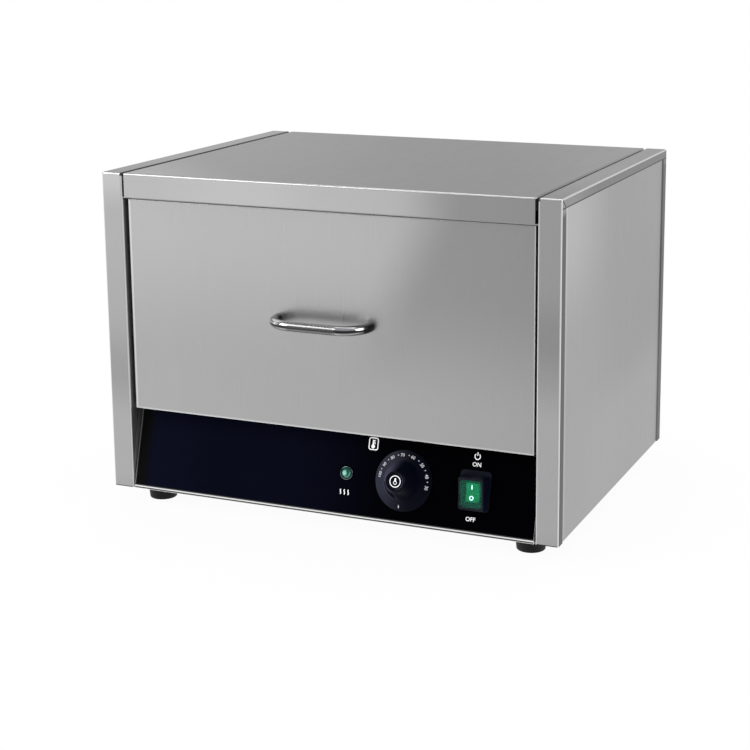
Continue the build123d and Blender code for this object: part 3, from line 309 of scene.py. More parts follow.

# %% [markdown]
# ## Brushed stainless steel
#
# The sheets are brushed: fine scratches run up and down the walls and from front to back on the lid. The
# scratches are noise stretched a hundred times along the brush. A second, broad noise gives the soft
# clouds that steel shows in a studio. The grain goes to colour, roughness and a very low bump, so that it
# is seen as a silky sheen and not as stripes. Every rounded fold gets a painted highlight, so it is
# lighter than the flats beside it. One function makes the variants, because the header, the drawer, the
# lid and the ends get different painted shade.

# %% Brushed steel


def fold_share(tree):
    """Where the painted fold highlight lies: one on rounded folds and zero on flats, from the piece's own
    normal.
    """
    parts = axes_of(tree, "Normal")
    sizes = [math_of(tree, "ABSOLUTE", part) for part in parts]
    steepest = math_of(tree, "MAXIMUM", math_of(tree, "MAXIMUM", sizes[0], sizes[1]), sizes[2])
    return smooth_of(tree, steepest, 0.995, 0.93)


def front_fold(tree):
    """Only the lid's front fold gets the painted highlight, not the folds down in the seams."""
    return smooth_of(tree, axes_of(tree)[1], -0.160, -0.164)


def seam_shade(tree):
    """A painted shadow darkens the narrow seam between the lid and the end frames."""
    across, _, high = axes_of(tree)
    off = math_of(tree, "ABSOLUTE", minus(tree, math_of(tree, "ABSOLUTE", across), SEAM_X))
    beside = smooth_of(tree, off, 0.0022, 0.0016)
    share = times(tree, beside, smooth_of(tree, high, 0.3325, 0.3335))
    return blend(tree, share, 1.0, 0.12)


def brushed_steel(name, tone, roughness=0.3, cloud=0.03, grain=0.022, fold=1.7, shade=None, metal=0.9,
                  edge_tint=1.0, seam=None, highlight_where=None):
    """Brushed sheet steel. Its folds get a painted highlight. shade and seam may multiply its colour by
    painted shade built from its place.
    """
    colour = (tone, tone, tone)
    material, tree, shader = new_material(name, colour, roughness, metal)
    shader.inputs["Specular Tint"].default_value = (edge_tint, edge_tint, edge_tint, 1.0)
    normal = axes_of(tree, "Normal")
    lid_share = smooth_of(tree, math_of(tree, "ABSOLUTE", normal[2]), 0.6, 0.8)
    wall_grain = noise_of(tree, place_of(tree, (1400, 1400, 9)), 1.0, 4.0, 0.65)
    lid_grain = noise_of(tree, place_of(tree, (1400, 9, 1400)), 1.0, 4.0, 0.65)
    scratches = mix_of(tree, lid_share, wall_grain, lid_grain)
    clouds = noise_of(tree, place_of(tree, (5, 5, 3), (7, 2, 4)), 1.0, 2.0, 0.5)
    base = stained(tree, colour, scratches, 0.3, 1 - grain, 0.7)
    base = stained(tree, base, clouds, 0.3, 1 - cloud, 0.75)
    # Painted shade: the variant's shade function multiplies the colour by place.
    if shade:
        base = mix_of(tree, 1.0, base, shade(tree), "MULTIPLY")
    # Painted highlight: the rounded folds are painted lighter than the flats beside them.
    bright = min(0.95, tone * fold)
    if fold > 1.0:
        fold_highlight = fold_share(tree)
        if highlight_where:
            fold_highlight = times(tree, fold_highlight, highlight_where(tree))
        base = mix_of(tree, fold_highlight, base, (bright, bright, bright))
    # Painted shadow in the seams beside the lid.
    if seam:
        base = mix_of(tree, 1.0, base, seam(tree), "MULTIPLY")
    tree.links.new(base, shader.inputs["Base Color"])
    gloss = smooth_of(tree, scratches, 0.25, 0.75, roughness - 0.03, roughness + 0.04)
    tree.links.new(gloss, shader.inputs["Roughness"])
    bump_of(tree, shader, scratches, 0.06, 0.00005)
    return material


def blend(tree, share, first, second):
    """first where share is zero and second where it is one, for plain values."""
    part = times(tree, second, share)
    rest = times(tree, first, minus(tree, 1.0, share))
    return plus(tree, part, rest)


def drawer_shade(tree):
    """Painted light and shade: the front is bright at its left and top and softly shaded on its right side.
    """
    across, _, high = axes_of(tree)
    slant = math_of(tree, "MULTIPLY_ADD", minus(tree, high, 0.13), -0.45, across)
    left = smooth_of(tree, high, 0.15, 0.29, 0.785, 0.94)
    right = smooth_of(tree, high, 0.12, 0.25, 0.80, 0.625)
    tone = blend(tree, smooth_of(tree, slant, -0.01, 0.06), left, right)
    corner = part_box("drawer_front")[0]
    # Painted highlight along the left and lower edges of the front.
    left_edge_highlight = smooth_of(tree, across, corner[0] + 0.0032, corner[0] + 0.0027)
    low_edge_highlight = band_of(tree, high, corner[2] + 0.0008, corner[2] + 0.0012, corner[2] + 0.0020,
                       corner[2] + 0.0024)
    edge = math_of(tree, "MAXIMUM", left_edge_highlight, times(tree, low_edge_highlight, 0.6))
    return math_of(tree, "MULTIPLY_ADD", edge, 0.42, tone)


def lid_shade(tree):
    """Painted shade: a lighter header, a soft dark valley across the flat and a light front left corner."""
    across, deep, _ = axes_of(tree)
    glow = times(tree, smooth_of(tree, across, -0.21, -0.09, 0.0, 0.14),
                 smooth_of(tree, across, -0.06, 0.01, 1.0, 0.3))
    header = plus(tree, glow, smooth_of(tree, across, 0.07, 0.145, 1.26, 0.79))
    valley = math_of(tree, "MULTIPLY_ADD", deep, 0.35, minus(tree, across, 0.08))
    flat = plus(tree, smooth_of(tree, valley, -0.30, 0.0, 0.92, 0.71),
                smooth_of(tree, valley, 0.03, 0.2, 0.0, 0.18))
    corner = smooth_of(tree, plus(tree, across, deep), -0.38, -0.22, 0.40, 0.0)
    flat = plus(tree, flat, corner)
    facing = smooth_of(tree, axes_of(tree, "Normal")[1], -0.4, -0.8)
    return blend(tree, facing, flat, header)


def end_shade(tree):
    """Painted shade: soft bands along the posts' height, darker mitred returns and a lighter inner cheek.

    Fine painted shadow lines mark the mitre, the edge of the returns and the foot.
    """
    across, deep, high = axes_of(tree)
    outward = smooth_of(tree, math_of(tree, "ABSOLUTE", axes_of(tree, "Normal")[0]), 0.8, 0.95)
    low_return = smooth_of(tree, high, 0.325, 0.318)
    front_return = times(tree, smooth_of(tree, deep, -0.150, -0.152), low_return)
    back_return = times(tree, smooth_of(tree, deep, 0.160, 0.162), low_return)
    top_return = smooth_of(tree, deep, -0.15, -0.05, 0.68, 0.50)
    side = blend(tree, low_return, top_return, 0.66)
    side = blend(tree, front_return, side, 0.24)
    side = blend(tree, back_return, side, 0.27)
    back_shadow_line = band_of(tree, deep, 0.1590, 0.1594, 0.1618, 0.1625)
    side = blend(tree, times(tree, back_shadow_line, low_return), side, 0.02)
    turned_in = times(tree, across, axes_of(tree, "Normal")[0])
    # Painted light on the inner cheek beside the panel.
    cheek = smooth_of(tree, deep, -0.168, -0.150, 1.35, 0.65)
    side = blend(tree, smooth_of(tree, turned_in, -0.15, -0.19), side, cheek)
    waist = times(tree, smooth_of(tree, high, 0.085, 0.135, 0.0, 0.18),
                  smooth_of(tree, high, 0.14, 0.20, 1.0, 0.0))
    left = minus(tree, smooth_of(tree, high, 0.19, 0.28, 1.0, 1.09), waist)
    left = plus(tree, left, smooth_of(tree, high, 0.295, 0.335, 0.0, 0.28))
    dip = times(tree, smooth_of(tree, high, 0.17, 0.205, 0.0, 0.12),
                smooth_of(tree, high, 0.215, 0.26, 1.0, 0.0))
    right = minus(tree, smooth_of(tree, high, 0.13, 0.18, 1.09, 0.88), dip)
    right = plus(tree, right, smooth_of(tree, high, 0.24, 0.33, 0.0, 0.04))
    front = blend(tree, smooth_of(tree, across, -0.1, 0.1), left, right)
    front = minus(tree, front, smooth_of(tree, high, 0.035, 0.015, 0.0, 0.06))
    lid = plus(tree, smooth_of(tree, across, -0.2, 0.2, 0.98, 0.76),
               smooth_of(tree, deep, -0.17, -0.05, -0.16, 0.0))
    front = blend(tree, smooth_of(tree, axes_of(tree, "Normal")[2], 0.6, 0.8), front, lid)
    whole = blend(tree, outward, front, side)
    # Painted shadow lines at the mitre, under the top return and along the foot.
    forward = smooth_of(tree, deep, -0.1560, -0.1565)
    drop = minus(tree, high, CASE_TOP_Z)
    off = math_of(tree, "MULTIPLY_ADD", minus(tree, deep, PANEL_FOOT_Y), MITRE_SLOPE, drop)
    line = smooth_of(tree, math_of(tree, "ABSOLUTE", off), 0.0011, 0.0006)
    mitre = times(tree, line, times(tree, forward, outward))
    under = band_of(tree, high, RETURN_Z - 0.0003, RETURN_Z, RETURN_Z + 0.0008, RETURN_Z + 0.0012)
    joint_shadows = math_of(tree, "MAXIMUM", mitre, times(tree, under, outward))
    whole = blend(tree, joint_shadows, whole, 0.03)
    foot_shadow_line = smooth_of(tree, high, FOOT_LINE_Z, FOOT_LINE_Z - 0.0002)
    return times(tree, whole, blend(tree, foot_shadow_line, 1.0, 0.08))


def side_shade(tree):
    """Painted shade: the side sheets are lightest at their top front corner and darken to the middle of the
    back.
    """
    _, deep, high = axes_of(tree)
    top_row = smooth_of(tree, deep, -0.16, 0.02, 0.87, 0.545)
    middle_row = smooth_of(tree, deep, -0.15, 0.10, 0.62, 0.50)
    rows = blend(tree, smooth_of(tree, high, 0.19, 0.31), middle_row, top_row)
    low_row = smooth_of(tree, deep, -0.05, 0.10, 0.64, 0.60)
    rows = blend(tree, smooth_of(tree, high, 0.09, 0.16), low_row, rows)
    # Painted highlight along the front edge of the side sheets.
    edge = smooth_of(tree, deep, -0.1485, -0.1495)
    return math_of(tree, "MULTIPLY_ADD", edge, 0.16, rows)


def lip_shade(tree):
    """Painted light: the bare lip is bright, between the film's dark wrapped edge and a painted shadow at its
    foot.
    """
    across, deep, high = axes_of(tree)
    wrapped = smooth_of(tree, high, 0.0199, 0.0202)
    foot = band_of(tree, high, 0.0173, 0.0175, 0.0186, 0.0188)
    dark_film_and_foot_shadow = math_of(tree, "MAXIMUM", wrapped, foot)
    inside = smooth_of(tree, math_of(tree, "ABSOLUTE", across), 0.2116, 0.2112)
    outer = smooth_of(tree, deep, -0.1660, -0.1665)
    dark_film_and_foot_shadow = times(tree, dark_film_and_foot_shadow, times(tree, inside, outer))
    return minus(tree, 1.0, times(tree, dark_film_and_foot_shadow, 0.97))


finishes = {}
finishes["stainless_outer"] = brushed_steel("brushed steel case", 0.47)
end_steel = brushed_steel("brushed steel end", 0.47, shade=end_shade, edge_tint=0.72, seam=seam_shade)
drawer_steel = brushed_steel("brushed steel drawer", 0.60, shade=drawer_shade)
lid_steel = brushed_steel("brushed steel lid", 0.45, fold=1.5, shade=lid_shade, edge_tint=0.67,
                          seam=seam_shade, highlight_where=front_fold)
side_steel = brushed_steel("brushed steel side", 0.50, shade=side_shade)
# The panel's steel is nearly white and hardly metallic: a painted highlight on the bare lip.
panel_steel = brushed_steel("brushed steel panel", 0.97, fold=1.0, shade=lip_shade, metal=0.1)
finishes["stainless_inner"] = brushed_steel("milled steel inside", 0.44, 0.36, 0.06, 0.03)
finishes["water_pan_steel"] = brushed_steel("drawn steel pan", 0.48, 0.24, 0.08, 0.02)
print("steels:", [m.name for m in bpy.data.materials])

# %% [markdown]
# ## Zinc, chrome, screws and balls
#
# The slides are zinc plated, which shows as a faint bluish spangle. The handle is chromed: its middle is
# brushed satin and its bends are mirror bright, so its roughness changes along the bar. Its colour holds
# painted reflections in bands across the bar, and painted shade on its arms. Screws and balls are small,
# and a fine stain in their colour is enough.

# %% Plated metals


def plated(name, tone, roughness, spangle_scale, spangle=0.18):
    """Plated steel, a little bluish, with a cell pattern in its tone and clouds in its gloss."""
    colour = (tone * 0.94, tone * 0.98, tone)
    material, tree, shader = new_material(name, colour, roughness, 1.0)
    cells = node(tree, "ShaderNodeTexVoronoi", Scale=spangle_scale)
    tree.links.new(place_of(tree), cells.inputs["Vector"])
    dull = noise_of(tree, place_of(tree), spangle_scale * 0.3, 3.0)
    base = stained(tree, colour, cells.outputs["Color"], 0.1, 1 - spangle, 0.9)
    base = stained(tree, base, dull, 0.3, 0.9, 0.7)
    tree.links.new(base, shader.inputs["Base Color"])
    tree.links.new(smooth_of(tree, dull, 0.2, 0.8, roughness - 0.05, roughness + 0.08),
                   shader.inputs["Roughness"])
    bump_of(tree, shader, dull, 0.08, 0.00005)
    return material


finishes["slide_zinc"] = plated("zinc plate", 0.55, 0.34, 420)
finishes["slide_balls"] = plated("polished balls", 0.66, 0.12, 900, 0.06)
finishes["screw_steel"] = plated("screw steel", 0.52, 0.3, 1500, 0.12)
print("plated metals ready")

# %% Chrome of the handle and of the lamp


def handle_chrome():
    """Chrome that is satin in the middle of the bar and bright at its bends.

    Its colour holds a painted reflection of a dark room in a narrow band along the bar's front, and painted
    shade on its arms.
    """
    material, tree, shader = new_material("handle chrome", (0.62, 0.62, 0.63), 0.08, 1.0)
    place = axes_of(tree)
    across = math_of(tree, "ABSOLUTE", place[0])
    upward = math_of(tree, "MULTIPLY_ADD", axes_of(tree, "Normal")[2], 0.5, 0.5)
    # Painted reflection: bands of light and dark across the bar, by the way each face turns.
    satin = ramp_of(tree, upward, [(0.17, 0.24), (0.28, 0.21), (0.37, 0.12), (0.46, 0.035), (0.55, 0.14),
                                   (0.65, 0.22), (0.73, 0.30), (0.81, 0.52), (0.89, 0.32), (0.95, 0.26)])
    mirror = ramp_of(tree, upward, [(0.15, 0.35), (0.30, 0.45), (0.41, 0.10), (0.50, 0.01), (0.58, 0.05),
                                    (0.64, 0.90), (0.80, 0.95), (0.90, 0.60), (0.96, 0.20)])
    arm = smooth_of(tree, place[1], -0.1800, -0.1770)
    rings = noise_of(tree, place_of(tree, (2600, 60, 60)), 1.0, 3.0)
    satin_end, mirror_start = 0.022, 0.028
    gloss = smooth_of(tree, across, satin_end, mirror_start, 0.26, 0.05)
    grain = smooth_of(tree, rings, 0.2, 0.8, -0.02, 0.03)
    tree.links.new(plus(tree, gloss, grain), shader.inputs["Roughness"])
    tone = mix_of(tree, smooth_of(tree, across, satin_end, mirror_start), satin, mirror)
    # Painted shade darkens the arms near the drawer, lighter on their tops.
    tone = mix_of(tree, arm, tone, ramp_of(tree, upward, [(0.80, 0.04), (0.95, 0.45)]))
    base = stained(tree, tone, rings, 0.3, 0.95, 0.7)
    tree.links.new(base, shader.inputs["Base Color"])
    bump_of(tree, shader, rings, 0.05, 0.00003)
    return material


def lamp_chrome():
    """Chrome with a faint stain, its colour painted dark and greenish as a painted reflection."""
    colour = (0.16, 0.22, 0.21)
    material, tree, shader = new_material("lamp chrome", colour, 0.10, 1.0)
    stain = noise_of(tree, place_of(tree), 700, 3.0)
    base = stained(tree, colour, stain, 0.3, 0.92, 0.7)
    tree.links.new(base, shader.inputs["Base Color"])
    tree.links.new(smooth_of(tree, stain, 0.2, 0.8, 0.05, 0.14), shader.inputs["Roughness"])
    return material


finishes["handle_chrome"] = handle_chrome()
finishes["lamp_chrome"] = lamp_chrome()
print("chrome ready")

# %% [markdown]
# ## Film, plastics and rubber
#
# The panel's film is a glossy black sheet, with a painted reflection that turns it navy at the left. The
# dial is moulded in a slightly softer black with a blue cast, with a painted sheen on its slopes that face
# left, and the boot round the switch is black too. Moulded parts show a fine grain and small changes of
# gloss, and the film shows a faint orange peel. Rubber is matt and a little dusty.

# %% Film and plastics


def moulded(name, colour, roughness, grain_scale, relief, cloud=0.12, coat=0.0, painted_light=None):
    """A moulded surface: clouds in its tone and gloss, and a fine grain."""
    material, tree, shader = new_material(name, colour, roughness)
    clouds = noise_of(tree, place_of(tree), 60, 3.0)
    grain = noise_of(tree, place_of(tree), grain_scale, 3.0)
    base = stained(tree, colour, clouds, 0.3, 1 - cloud, 0.7)
    # Painted light, given as a function, is added to the colour.
    if painted_light:
        base = mix_of(tree, painted_light[0], base, painted_light[1](tree), "ADD")
    tree.links.new(base, shader.inputs["Base Color"])
    tree.links.new(smooth_of(tree, clouds, 0.2, 0.8, roughness - 0.03, roughness + 0.05),
                   shader.inputs["Roughness"])
    shader.inputs["Coat Weight"].default_value = coat
    shader.inputs["Coat Roughness"].default_value = 0.06
    bump_of(tree, shader, grain, relief, 0.00004)
    return material


def film_tint(tree):
    """Painted reflection on the film: navy at the left, black to the right, dark grey with a painted
    highlight line at its left edge.
    """
    across = axes_of(tree)[0]
    edge = smooth_of(tree, across, -0.203, -0.192)
    navy = blend(tree, smooth_of(tree, across, -0.19, -0.12), 0.0142, 0.0102)
    navy = times(tree, navy, smooth_of(tree, across, -0.05, 0.085, 1.0, 0.06))
    share = times(tree, navy, edge)
    plain = node(tree, "ShaderNodeCombineColor")
    strip = times(tree, minus(tree, 1.0, edge), 0.0046)
    # Painted highlight line along the film's left edge.
    film_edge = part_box("panel_overlay")[0][0]
    edge_highlight_line = smooth_of(tree, across, film_edge + 0.0012, film_edge + 0.0008, 0.0, 0.17)
    strip = plus(tree, strip, edge_highlight_line)
    for channel, part in enumerate((0.27, 0.34, 1.0)):
        tree.links.new(math_of(tree, "MULTIPLY_ADD", share, part, strip), plain.inputs[channel])
    return plain.outputs[0]


def dial_sheen(tree):
    """A painted sheen: the dial's slopes that face left are paler, as on a dial lit from the left."""
    leaning = axes_of(tree, "Normal")[0]
    share = smooth_of(tree, leaning, 0.12, -0.85)
    return mix_of(tree, share, (0.0, 0.0, 0.0), (0.080, 0.082, 0.125))


def set_gloss(material, level):
    """How strongly a plastic mirrors."""
    shader_of(material).inputs["Specular IOR Level"].default_value = level
    return material


finishes["panel_film"] = set_gloss(moulded("panel film", (0.0004, 0.0004, 0.0007), 0.12, 900, 0.02,
                                           painted_light=(1.0, film_tint)), 0.03)
finishes["dial_plastic"] = set_gloss(moulded("dial plastic", (0.0015, 0.0025, 0.008), 0.30, 1800, 0.10,
                                             painted_light=(1.0, dial_sheen)), 0.06)
finishes["black_plastic"] = set_gloss(moulded("black plastic", (0.003, 0.0045, 0.014), 0.36, 1500, 0.20), 0.2)
finishes["foot_rubber"] = set_gloss(moulded("black rubber", (0.006, 0.006, 0.006), 0.6, 1100, 0.5, 0.25), 0.3)
print("plastics ready")

# %% [markdown]
# ## Green lens, splash cover and rocker
#
# The lamp's lens is green plastic with painted highlights that glow in it, and the splash cover is clear
# green plastic. The rocker below is green with a painted glow, which stands in for the light that reaches
# it through the cover. Each has soft clouds in its tone.

# %% Greens


def clear_green(name, colour, roughness, clear, glow, glow_colour, bend=1.4):
    """Clear green plastic, or green plastic with a painted glow."""
    material, tree, shader = new_material(name, colour, roughness)
    clouds = noise_of(tree, place_of(tree), 160, 2.0)
    base = stained(tree, colour, clouds, 0.25, 0.85, 0.75)
    tree.links.new(base, shader.inputs["Base Color"])
    tree.links.new(smooth_of(tree, clouds, 0.2, 0.8, roughness, roughness + 0.06), shader.inputs["Roughness"])
    shader.inputs["Transmission Weight"].default_value = clear
    shader.inputs["IOR"].default_value = bend
    shader.inputs["Emission Color"].default_value = (*glow_colour, 1.0)
    shader.inputs["Emission Strength"].default_value = glow
    return material


def lens_green():
    """Painted highlights that glow: a bright spot left of the lens's middle and a lit rim at the lower right.
    """
    material = clear_green("green lens", (0.01, 0.10, 0.07), 0.12, 0.0, 1.0, (0.0, 0.0, 0.0))
    tree = material.node_tree
    middle = panel_point(*LAMP_AT, 0.003)
    across, _, high = axes_of(tree)
    right_of = minus(tree, across, middle.x)
    above = minus(tree, high, middle.z)
    left_spot = plus(tree, right_of, 0.0012)
    spot = smooth_of(tree, distance_of(tree, left_spot, above), 0.0034, 0.0008)
    rim = band_of(tree, distance_of(tree, right_of, above), 0.0030, 0.0036, 0.0040, 0.0046)
    low_right = smooth_of(tree, minus(tree, right_of, above), 0.0015, 0.0040)
    rim_highlight = times(tree, times(tree, rim, low_right), 0.35)
    lit = math_of(tree, "MAXIMUM", spot, rim_highlight)
    glow = mix_of(tree, lit, (0.0, 0.012, 0.008), (0.30, 0.64, 0.54))
    tree.links.new(glow, shader_of(material).inputs["Emission Color"])
    return material


finishes["green_lens"] = lens_green()
finishes["green_membrane"] = clear_green("green cover", (0.10, 0.55, 0.38), 0.03, 0.88, 0.0,
                                         (0.1, 0.8, 0.5), 1.15)
# The rocker's glow is painted light, for the light that comes through the cover.
finishes["green_rocker"] = clear_green("green rocker", (0.01, 0.30, 0.12), 0.25, 0.0, 1.0, (0.03, 0.36, 0.17))
# The rocker's print glows strongly, a painted glow that keeps it white under the green cover.
glowing_print_ink = clear_green("lit ink", (0.7, 0.7, 0.7), 0.4, 0.0, 14.0, (1.0, 0.30, 0.42))
print("greens ready")

# %% [markdown]
# ## Heater, ceramic, wires and wool
#
# These are only seen with the drawer out or the part taken apart. The heater's sheath is oxidised, with
# brown and bluish clouds. The terminal block is glazed ceramic. Wires have a soft sleeve. The wool is
# fibrous: a stretched noise in two directions over a pale yellow grey.

# %% Inner finishes


def heated_sheath():
    """Oxidised tube: dark steel with straw and blue clouds."""
    material, tree, shader = new_material("heater sheath", (0.12, 0.10, 0.09), 0.42, 1.0)
    clouds = noise_of(tree, place_of(tree), 35, 4.0)
    base = ramp_of(tree, clouds, [(0.3, (0.10, 0.09, 0.09)), (0.5, (0.22, 0.16, 0.10)),
                                  (0.7, (0.14, 0.15, 0.20))])
    tree.links.new(base, shader.inputs["Base Color"])
    bump_of(tree, shader, noise_of(tree, place_of(tree), 900, 3.0), 0.2, 0.00005)
    return material


def wool_fibres():
    """Mineral wool: tangled fibres on a pale yellow grey."""
    material, tree, shader = new_material("mineral wool", (0.50, 0.46, 0.33), 0.95)
    lying = noise_of(tree, place_of(tree, (500, 60, 900)), 1.0, 4.0, 0.7)
    crossing = noise_of(tree, place_of(tree, (60, 500, 700)), 1.0, 4.0, 0.7)
    fibres = math_of(tree, "MAXIMUM", lying, crossing)
    base = ramp_of(tree, fibres, [(0.4, (0.34, 0.31, 0.22)), (0.6, (0.52, 0.48, 0.35)),
                                  (0.8, (0.66, 0.62, 0.48))])
    tree.links.new(base, shader.inputs["Base Color"])
    shader.inputs["Sheen Weight"].default_value = 0.3
    bump_of(tree, shader, fibres, 0.8, 0.0006)
    return material


finishes["element_sheath"] = heated_sheath()
finishes["ceramic"] = moulded("glazed ceramic", (0.62, 0.59, 0.52), 0.25, 500, 0.1, 0.08, 0.4)
finishes["wire_sleeve"] = moulded("wire sleeve", (0.30, 0.05, 0.04), 0.5, 1300, 0.2, 0.3)
finishes["mineral_wool"] = wool_fibres()
print(len(finishes), "finishes")

# %% [markdown]
# ## Dress the CAD nodes
#
# The record names a finish for every node, so one loop dresses them all. The seven outer sheets that the
# photograph shows get five variants of the steel, because each carries its own painted shade.

# %% Give every node its finish


def dress(piece, material):
    """One material on the whole piece."""
    piece.data.materials.clear()
    piece.data.materials.append(material)


own_finish = {"drawer_front": drawer_steel, "top_cover": lid_steel, "control_panel": panel_steel,
              "end_frame_left": end_steel, "end_frame_right": end_steel,
              "side_panel_left": side_steel, "side_panel_right": side_steel}
slot_of = {entry["node"]: entry["material_slot"] for entry in frame["record"]["subparts"]}
for name, slot_name in slot_of.items():
    dress(nodes[name], own_finish.get(name, finishes[slot_name]))
print(len(slot_of), "nodes dressed")

# %% [markdown]
# ## Printed marks
#
# A mark is ink: a flat shape a few hundredths of a millimetre thick. Each is drawn flat with a few
# helpers for a bar, a ring, a rounded frame and a word, then given its thickness, and at last bent onto
# the panel, the dial or the rocker by a function that maps across, up and out to a point.

# %% Helpers for marks
INK = 0.00004
INK_GAP = 0.00002


def evaluated_mesh(holder):
    """The mesh that an object's curve or modifiers give."""
    bpy.context.view_layer.update()
    return bpy.data.meshes.new_from_object(holder.evaluated_get(bpy.context.evaluated_depsgraph_get()))


class Sheet:
    """A flat drawing of marks, in metres."""

    def __init__(self):
        self.mesh = bmesh.new()

    def face(self, points):
        self.mesh.faces.new([self.mesh.verts.new((x, y, 0)) for x, y in points])

    def bar(self, x0, y0, x1, y1, width):
        along = Vector((x1 - x0, y1 - y0)).normalized()
        side = Vector((-along.y, along.x)) * width / 2
        self.face([(x0 + side.x, y0 + side.y), (x0 - side.x, y0 - side.y),
                   (x1 - side.x, y1 - side.y), (x1 + side.x, y1 + side.y)])

    def arc(self, x, y, radius, width, start=0.0, end=360.0, steps=32):
        angles = [math.radians(start + (end - start) * k / steps) for k in range(steps + 1)]
        outer, inner = ([(x + reach * math.cos(a), y + reach * math.sin(a)) for a in angles]
                        for reach in (radius + width / 2, radius - width / 2))
        for k in range(steps):
            self.face([inner[k], outer[k], outer[k + 1], inner[k + 1]])

    def disc(self, x, y, radius, steps=24):
        self.face([(x + radius * math.cos(2 * math.pi * k / steps),
                    y + radius * math.sin(2 * math.pi * k / steps)) for k in range(steps)])

    def frame(self, x, y, width, height, corner, line):
        half_x, half_y = width / 2 - corner, height / 2 - corner
        for side_x, side_y, start in ((1, 1, 0), (-1, 1, 90), (-1, -1, 180), (1, -1, 270)):
            self.arc(x + side_x * half_x, y + side_y * half_y, corner, line, start, start + 90, 6)
        for side in (-1, 1):
            self.bar(x + side * width / 2, y - half_y, x + side * width / 2, y + half_y, line)
            self.bar(x - half_x, y + side * height / 2, x + half_x, y + side * height / 2, line)

    def word(self, text, x, y, height, turn=0.0, bold=0.0):
        curve = bpy.data.curves.new("word", "FONT")
        curve.body = text
        curve.align_x = "CENTER"
        curve.align_y = "CENTER"
        curve.size = 1.0
        curve.offset = bold
        curve.resolution_u = 3
        holder = add_object("word", curve)
        flat = evaluated_mesh(holder)
        bpy.data.objects.remove(holder)
        tall = max(v.co.y for v in flat.vertices) - min(v.co.y for v in flat.vertices)
        middle = (max(v.co.y for v in flat.vertices) + min(v.co.y for v in flat.vertices)) / 2
        size = height / tall
        spin = Matrix.Rotation(turn, 4, "Z")
        for v in flat.vertices:
            placed = spin @ Vector((v.co.x * size, (v.co.y - middle) * size, 0))
            v.co = placed + Vector((x, y, 0))
        self.mesh.from_mesh(flat)
        bpy.data.meshes.remove(flat)

    def finish(self, name, body, material, place):
        """Gives the drawing its thickness, bends it into place and lets it ride on its body."""
        bmesh.ops.remove_doubles(self.mesh, verts=self.mesh.verts, dist=1e-6)
        for made in self.mesh.faces:
            made.normal_update()
            if made.normal.z < 0:
                made.normal_flip()
        base_faces = list(self.mesh.faces)
        grown = bmesh.ops.extrude_face_region(self.mesh, geom=base_faces)
        for item in grown["geom"]:
            if isinstance(item, bmesh.types.BMVert):
                item.co.z += INK
        for v in self.mesh.verts:
            v.co = place(v.co.x, v.co.y, v.co.z)
        bmesh.ops.recalc_face_normals(self.mesh, faces=self.mesh.faces)
        mesh = bpy.data.meshes.new(name)
        self.mesh.to_mesh(mesh)
        self.mesh.free()
        mesh.materials.append(material)
        piece = add_object(name, mesh)
        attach(piece, body)
        print(name, len(mesh.polygons), "faces")


white_ink = moulded("white ink", (0.95, 0.95, 0.95), 0.5, 1200, 0.1, 0.03)
# The white ink glows faintly, painted light that makes the print read brighter.
shader_of(white_ink).inputs["Emission Color"].default_value = (1.0, 1.0, 1.0, 1.0)
shader_of(white_ink).inputs["Emission Strength"].default_value = 0.35

# %% [markdown]
# ## Marks on the panel
#
# The film carries plain signs: a thermometer in a frame over the dial, a power sign and ON over the
# switch, OFF under it, and three warm waves under the lamp. They are drawn with the sheet's helpers in
# the panel's own across and up.

# %% Panel marks
panel_marks = Sheet()
MARK_LINE = 0.0010

panel_marks.frame(0.0443, 0.0689, 0.0090, 0.0110, 0.0018, MARK_LINE)
panel_marks.disc(0.0440, 0.0663, 0.0019)
panel_marks.bar(0.0440, 0.0663, 0.0440, 0.0726, 0.0017)
for step in range(3):
    panel_marks.bar(0.0449, 0.0690 + step * 0.0015, 0.0463, 0.0690 + step * 0.0015, 0.0007)

panel_marks.arc(0.1499, 0.0689, 0.0027, 0.0009, 125, 415, 28)
panel_marks.bar(0.1499, 0.0697, 0.1499, 0.0728, 0.0010)
panel_marks.word("ON", 0.1500, 0.0615, 0.0041, bold=0.014)
panel_marks.word("OFF", 0.1488, 0.0108, 0.0041, bold=0.014)

for wave in range(3):
    middle = 0.0150 + wave * 0.0040
    panel_marks.arc(middle + 0.0009, 0.0213, 0.0013, MARK_LINE, 120, 240, 6)
    panel_marks.arc(middle - 0.0009, 0.0190, 0.0013, MARK_LINE, -60, 60, 6)

panel_marks.finish("panel_marks", "cabinet", white_ink,
                   lambda x, y, z: panel_point(x, y, FILM + z + INK_GAP))

# %% [markdown]
# ## Print on the dial
#
# The dial's skirt is a shallow cone, so its print is bent onto it: the distance from the dial's middle
# says how high the skirt stands there. The numbers are placed by angle and read from the middle outward.
# The ticks repeat, so a small Geometry Nodes tree makes them: it puts one tick on each point of an arc
# and turns it to face outward. One short tick, almost a dot, stands between every two numbers.

# %% Dial surface
SKIRT_EDGE = (0.0288, 0.0024)
SKIRT_INNER = (0.0194, 0.0056)
KNOB_REACH = 0.015
KNOB_FACE = 0.0232


def dial_point(x, y, out):
    """A point on the dial's skirt or knob face, from across and up on the dial."""
    radius = math.hypot(x, y)
    if radius > KNOB_REACH:
        share = (radius - SKIRT_INNER[0]) / (SKIRT_EDGE[0] - SKIRT_INNER[0])
        height = SKIRT_INNER[1] + share * (SKIRT_EDGE[1] - SKIRT_INNER[1])
    else:
        height = KNOB_FACE
    return panel_point(DIAL_AT[0] + x, DIAL_AT[1] + y, height + out + INK_GAP)


